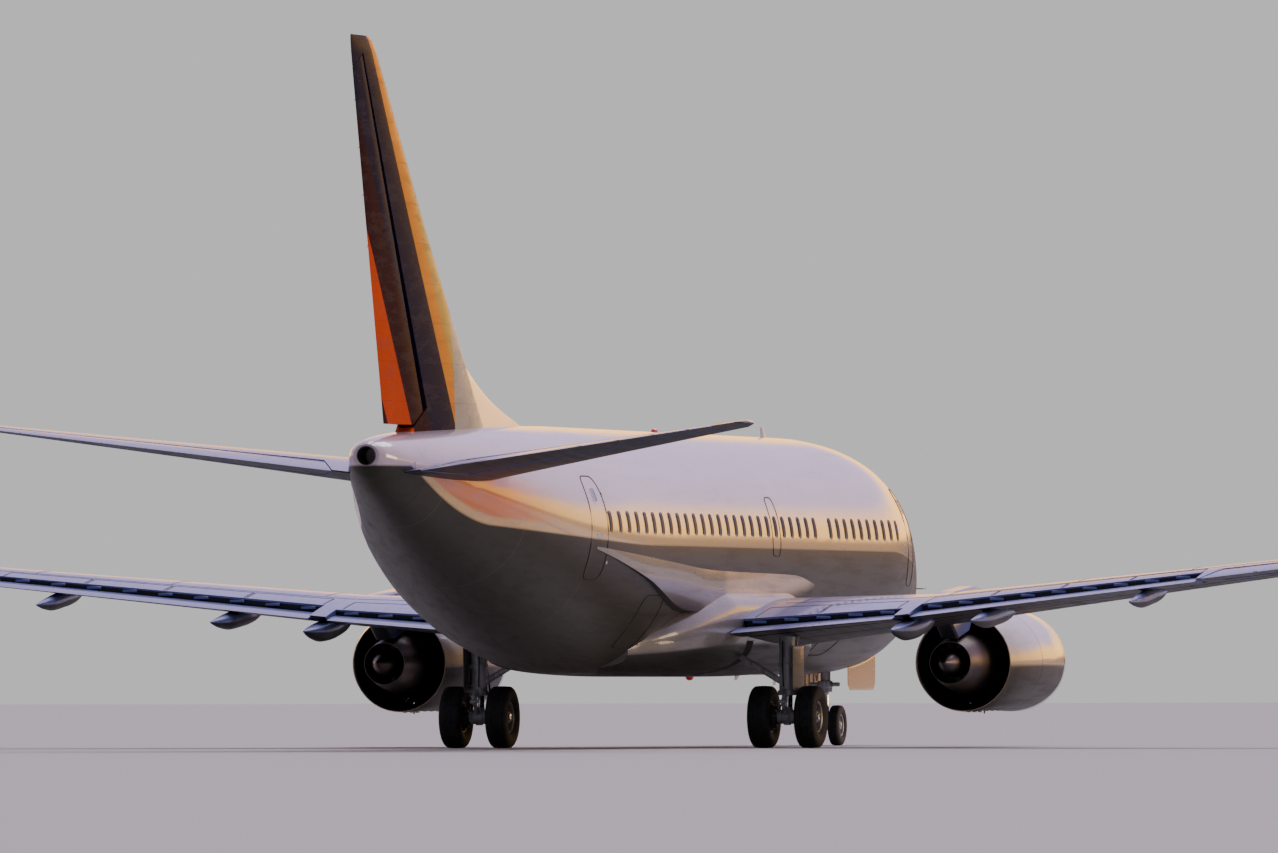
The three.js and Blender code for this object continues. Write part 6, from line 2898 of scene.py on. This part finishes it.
@dataclass
class MainGear:
    """Both main legs with their stays, links, lines, doors and wheels."""

    shop: Workshop
    x: float = 2.615
    y: float = 0.24
    discs: int = 5
    disc_radius: float = 0.2
    disc_pitch: float = 0.011
    pistons: int = 6
    piston_ring: float = 0.15
    hose: float = 0.013
    line: float = 0.011

    def at(self, x: float, y: float, z: float) -> Triple:
        """A place told from the foot of the right leg."""
        return (self.x + x, self.y + y, z)

    def link(self, a: Triple, b: Triple, wide: float, narrow: float | None = None) -> Piece:
        """A forged link between two places."""
        return Shapes.bar(self.at(*a), self.at(*b), wide, narrow, 16, 0.006)

    def build_leg(self) -> None:
        """Strut, sliding tube, stays, links and axle."""
        r = MAIN_WHEEL.radius
        end = MAIN_WHEEL.twin / 2 + MAIN_WHEEL.width * 0.31 + 0.03
        links = (
            ((0, 0, 0.88), (0, 0, 1.82), 0.135),
            ((0, 0, 0.86), (0, 0, 0.94), 0.16),
            ((0, 0, 1.3), (0, 0, 1.38), 0.15),
            ((-0.15, 0, r), (0.15, 0, r), 0.115),
            ((0, 0, r - 0.135), (0, 0, r), 0.06),
            ((0, 0, r + 0.02), (0, 0, r + 0.16), 0.1, 0.09),
            ((-0.06, 0, 1.06), (-0.62, 0, 1.389), 0.052),
            ((-0.6, 0, 1.377), (-1.15, 0, 1.7), 0.046),
            ((-0.66, -0.055, 1.39), (-0.66, 0.055, 1.39), 0.06),
            ((-1.15, 0, 1.64), (-1.15, 0, 1.86), 0.07),
            ((0, 0.06, 1.12), (0, 0.62, 1.85), 0.048),
            ((0, -0.09, 0.96), (0, -0.33, 0.76), 0.038, 0.026),
            ((0, -0.33, 0.76), (0, -0.06, r + 0.03), 0.026, 0.038),
            ((-0.06, -0.33, 0.76), (0.06, -0.33, 0.76), 0.03),
            ((-0.07, -0.1, 0.96), (0.07, -0.1, 0.96), 0.035),
        )
        leg = Bench.joined([self.link(*row) for row in links], "main_gear_leg_right_skin")
        self.shop.both(leg, Finish.LEG, "main_gear_leg_right")
        bright = [
            Shapes.bar(self.at(0, 0, r + 0.1), self.at(0, 0, 0.9), 0.088, sides=40, bevel=0.003),
            Shapes.bar(self.at(-end, 0, r), self.at(end, 0, r), 0.0695, sides=40, bevel=0.005),
        ]
        self.shop.both(Bench.joined(bright, "main_gear_tube_right"), Finish.CHROME)

    def build_brakes(self) -> None:
        """Brake stacks between the strut and each wheel, with their hoses."""
        r, stacks = MAIN_WHEEL.radius, []
        for side in (-1, 1):
            for k in range(self.discs):
                x, wide = side * (0.222 + k * self.disc_pitch), self.disc_radius - 0.006 * (k % 2)
                ends = self.at(x, 0, r), self.at(x + side * 0.008, 0, r)
                stacks.append(Shapes.bar(*ends, wide, sides=48, bevel=0.001))
            for k in range(self.pistons):
                turn = TAU * k / self.pistons + 0.3
                y, z = self.piston_ring * math.cos(turn), r + self.piston_ring * math.sin(turn)
                ends = [self.at(side * x, y, z) for x in (0.165, 0.225)]
                stacks.append(Shapes.bar(*ends, 0.034, sides=20, bevel=0.004))
        self.shop.both(Bench.joined(stacks, "brake_stacks_right", 35), Finish.BRAKE)
        bend = ((0.1, 0.12, 1.3), (0.13, 0.16, 1.0), (0.12, 0.24, 0.82))
        bend += ((0.16, 0.17, 0.68), (0.2, 0.12, 0.6))
        right = (0.14, 0.02, 1.75), (0.155, 0.03, 1.3), (0.15, 0.04, 0.98)
        front = (-0.04, -0.145, 1.75), (-0.04, -0.15, 1.4), (-0.03, -0.15, 1.0)
        paths = [([(side * x, y, z) for x, y, z in bend], self.hose) for side in (-1, 1)]
        paths += [(right, self.line), (front, self.line)]
        hoses = [Shapes.pipe([self.at(*p) for p in path], radius) for path, radius in paths]
        self.shop.both(Bench.joined(hoses, "brake_hoses_right"), Finish.HOSE)

    def build(self) -> None:
        """Makes both main gears."""
        self.build_leg()
        self.build_brakes()
        sizes = {"inside": 2.775, "width": 0.03, "span": (-0.09, 0.61), "foot": 0.91, "corner": 0.09}
        door = GearDoor(self.shop, "main_gear_door", head=lambda y: 1.67, **sizes)
        rods = [((2.7, y, z), (2.79, y, z)) for y in (0.17, 0.31) for z in (1.02, 1.34, 1.6)]
        door.build(Finish.FAIRING, rods)
        for word, side in (("right", 1), ("left", -1)):
            for place, out in (("outer", 1), ("inner", -1)):
                x = side * (self.x + out * MAIN_WHEEL.twin / 2)
                wheel = Wheel(self.shop, MAIN_WHEEL, x, self.y, side * out)
                wheel.build(place, f"main_{word}", f"main_wheels_{word}")


@dataclass
class NoseGear:
    """The nose leg, its turning fork, doors, lamps and wheels."""

    shop: Workshop
    y: float = 12.69
    split: float = 0.98
    top: float = 2.15

    def bar(self, a: Triple, b: Triple, radius: float, tip: float | None = None) -> Piece:
        """A round bar told from the foot of the leg."""
        ends = [(x, self.y + y, z) for x, y, z in (a, b)]
        return Shapes.bar(*ends, radius, tip, 24, 0.005)

    def belly_at(self, y: float) -> float:
        """Height of the body's skin over the door's top edge."""
        _, bottom, half, waist = BODY.at(HALF_LENGTH - y)
        return waist - (waist - bottom) * math.sqrt(1 - (0.458 / half) ** 2) - 0.002

    def build_leg(self) -> None:
        """The fixed part."""
        s, t = self.split, self.top
        rows = (
            ((0, 0, s), (0, 0, t - 0.001), 0.085),
            ((0, 0, s), (0, 0, s + 0.12), 0.12),
            ((0, 0, 1.45), (0, 0, 1.5), 0.1),
            ((0, 0.05, s + 0.18), (0, 0.62, t - 0.12), 0.034),
            ((-0.2, 0.62, t - 0.12), (0.2, 0.62, t - 0.12), 0.04),
            ((-0.429, 0, t - 0.2), (0.429, 0, t - 0.2), 0.05),
            ((-0.12, -0.05, s + 0.06), (-0.26, -0.05, s + 0.06), 0.035),
            ((0.12, -0.05, s + 0.06), (0.26, -0.05, s + 0.06), 0.035),
        )
        leg = Bench.joined([self.bar(*row) for row in rows], "nose_gear_leg_skin")
        self.shop.dress(leg, Finish.LEG, "nose_gear_leg")
        lamp = self.bar((0, 0.09, 1.32), (0, 0.15, 1.32), 0.06)
        lamp.name = "taxi_lamp"
        self.shop.dress(lamp, Finish.LAMP)

    def build_fork(self) -> None:
        """The part that turns with the wheels."""
        s, r = self.split, NOSE_WHEEL.radius
        rows = (
            ((0, 0, s - 0.07), (0, 0, s - 0.001), 0.115),
            ((-0.07, 0, r), (0.07, 0, r), 0.075),
            ((0, 0, r - 0.085), (0, 0, r), 0.04),
            ((0, 0, r), (0, 0, r + 0.12), 0.068),
            ((0, -0.07, s - 0.06), (0, -0.23, 0.64), 0.026, 0.02),
            ((0, -0.23, 0.64), (0, -0.04, r + 0.03), 0.02, 0.026),
            ((-0.045, -0.23, 0.64), (0.045, -0.23, 0.64), 0.022),
        )
        parts = [self.bar(*row) for row in rows]
        parts.append(Shapes.block((0, self.y + 0.085, r + 0.01), (0.11, 0.06, 0.09), 0.01))
        fork = Bench.joined(parts, "nose_gear_fork_skin")
        self.shop.dress(fork, Finish.LEG, "nose_gear_fork", body="nose_steering")
        end = NOSE_WHEEL.twin / 2 + NOSE_WHEEL.width * 0.31 + 0.014
        rows = (((0, 0, r), (0, 0, s - 0.01), 0.06), ((-end, 0, r), (end, 0, r), 0.0375))
        bright = Bench.joined([self.bar(*row) for row in rows], "nose_gear_tube")
        self.shop.dress(bright, Finish.CHROME, body="nose_steering")

    def build(self) -> None:
        """Makes the nose gear."""
        self.build_leg()
        self.build_fork()
        sizes = {"inside": 0.445, "width": 0.026, "span": (12.425, 14.275), "foot": 0.94, "corner": 0.2}
        door = GearDoor(self.shop, "nose_gear_door", head=self.belly_at, **sizes)
        rods = [((0.455, y, 1.1), (0.36, y, 1.72)) for y in (12.85, 13.85)]
        for y in (12.62, 13.35, 14.08):
            head = self.belly_at(y)
            rods.append(((0.455, y, head - 0.04), (0.4, y, head + 0.12)))
        # The doors' outside takes the orange painted warm light.
        door.build(Finish.NOSE_DOOR, rods, Slot.CABIN)
        for place, out in (("outer", 1), ("inner", -1)):
            wheel = Wheel(self.shop, NOSE_WHEEL, out * NOSE_WHEEL.twin / 2, self.y, out)
            wheel.build(place, "nose", "nose_wheels")


@dataclass
class Studio:
    """Plain pale floor, soft lights and the camera."""

    lens: float = 516.1
    distance: float = 300.0
    azimuth: float = math.radians(15.27)
    height: float = 0.97
    rise: float = math.radians(0.82)
    pan: float = math.radians(0.02)
    roll: float = math.radians(-0.08)
    target_y: float = 0.24
    floor_reach: float = 900.0

    def build_camera(self) -> None:
        """A long lens behind the right of the tail, near the floor and turned slightly up."""
        Bench.clear()
        az = self.azimuth
        place = (math.sin(az) * self.distance, self.target_y - math.cos(az) * self.distance, self.height)
        bpy.ops.object.camera_add(location=place)
        camera = bpy.context.object
        camera.name = "camera"
        camera.rotation_mode = "XYZ"
        turns = ((az - self.pan, "Z"), (math.pi / 2 + self.rise, "X"), (self.roll, "Z"))
        turn = Matrix.Identity(3)
        for angle, axis in turns:
            turn = turn @ Matrix.Rotation(angle, 3, axis)
        camera.rotation_euler = turn.to_euler()
        camera.data.lens = self.lens
        camera.data.sensor_width = 36
        camera.data.clip_end = 4000
        camera.data.clip_start = 1
        bpy.context.scene.camera = camera

    def build_floor(self) -> None:
        """A wide pale floor."""
        Bench.clear()
        bpy.ops.mesh.primitive_circle_add(vertices=96, radius=self.floor_reach, fill_type="NGON")
        floor = Bench.called("floor")
        Bench.placed(floor, lambda p: (p.x, p.y, 0.0))
        paint = Paint("floor_plain")
        cloud = paint.noise(0.05, 3)
        tone = paint.mixed(cloud, (0.45, 0.44, 0.43), (0.48, 0.47, 0.46))
        paint.set(Base_Color=tone, Roughness=cloud * 0.1 + 0.75)
        floor.data.materials.append(paint.material)

    def sun(self, name: str, place: Triple, energy: float, colour: Colour, angle: float) -> None:
        """Adds a soft sun.

        Args:
            name: Name of the light.
            place: Where it shines from, towards the middle of the aircraft.
            energy: Its strength.
            colour: Its colour.
            angle: How wide it looks, which makes its shadows soft.
        """
        Bench.clear()
        bpy.ops.object.light_add(type="SUN", location=place)
        lamp = bpy.context.object
        lamp.name = name
        lamp.rotation_euler = Vector(place).to_track_quat("Z", "Y").to_euler()
        lamp.data.energy = energy
        lamp.data.color = colour
        lamp.data.angle = angle

    def build_sky(self) -> None:
        """World light with a low warm band ahead, which the camera sees as one plain tone."""
        world = bpy.data.worlds.new("studio")
        bpy.context.scene.world = world
        world.use_nodes = True
        sky = Nodes(world.node_tree)
        way = sky.node("ShaderNodeTexCoord", {}, {}, "Generated")
        up, forward = (sky.node("ShaderNodeSeparateXYZ", {}, {0: way}, axis) for axis in ("Z", "Y"))
        low, warm, cool = (0.09, 0.085, 0.1), (3.0, 1.55, 0.38), (0.92, 0.76, 1.2)
        ahead = sky.ramp(
            up, (0.0, low), (0.03, low), (0.048, warm), (0.125, warm), (0.19, cool), (1.0, cool)
        )
        behind = sky.ramp(up, (0.0, (0.12, 0.12, 0.13)), (1.0, (0.34, 0.33, 0.42)))
        inputs = {"Value": forward, "From Min": -0.2, "From Max": 0.8}
        turned = sky.node("ShaderNodeMapRange", {}, inputs, 0)
        seen = sky.node("ShaderNodeLightPath", {}, {}, "Is Camera Ray")
        plain = sky.mixed(seen, sky.mixed(turned, behind, ahead), (0.62, 0.61, 0.62))
        background = world.node_tree.nodes["Background"]
        sky.feed(background.inputs["Color"], plain)
        sky.feed(background.inputs["Strength"], 1.0)

    def build(self) -> None:
        """Makes the studio: a broad light overhead and a warm low one ahead on the right."""
        self.build_camera()
        self.build_floor()
        self.build_sky()
        self.sun("overhead", (10, 40, 60), 1.7, (0.96, 0.93, 1.0), 0.7)
        self.sun("warm_side", (90, 40, 12), 0.9, (1.0, 0.72, 0.42), 0.3)


def main() -> None:
    """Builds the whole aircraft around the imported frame."""
    logging.basicConfig(level=logging.INFO, format="%(message)s")
    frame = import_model()
    shop = Workshop(frame)
    Studio().build()
    for part in (Fuselage(shop), Wing(shop), Tail(shop), Engine(shop), MainGear(shop), NoseGear(shop)):
        log.info("%s", type(part).__name__)
        part.build()


if __name__ == "__main__":
    main()
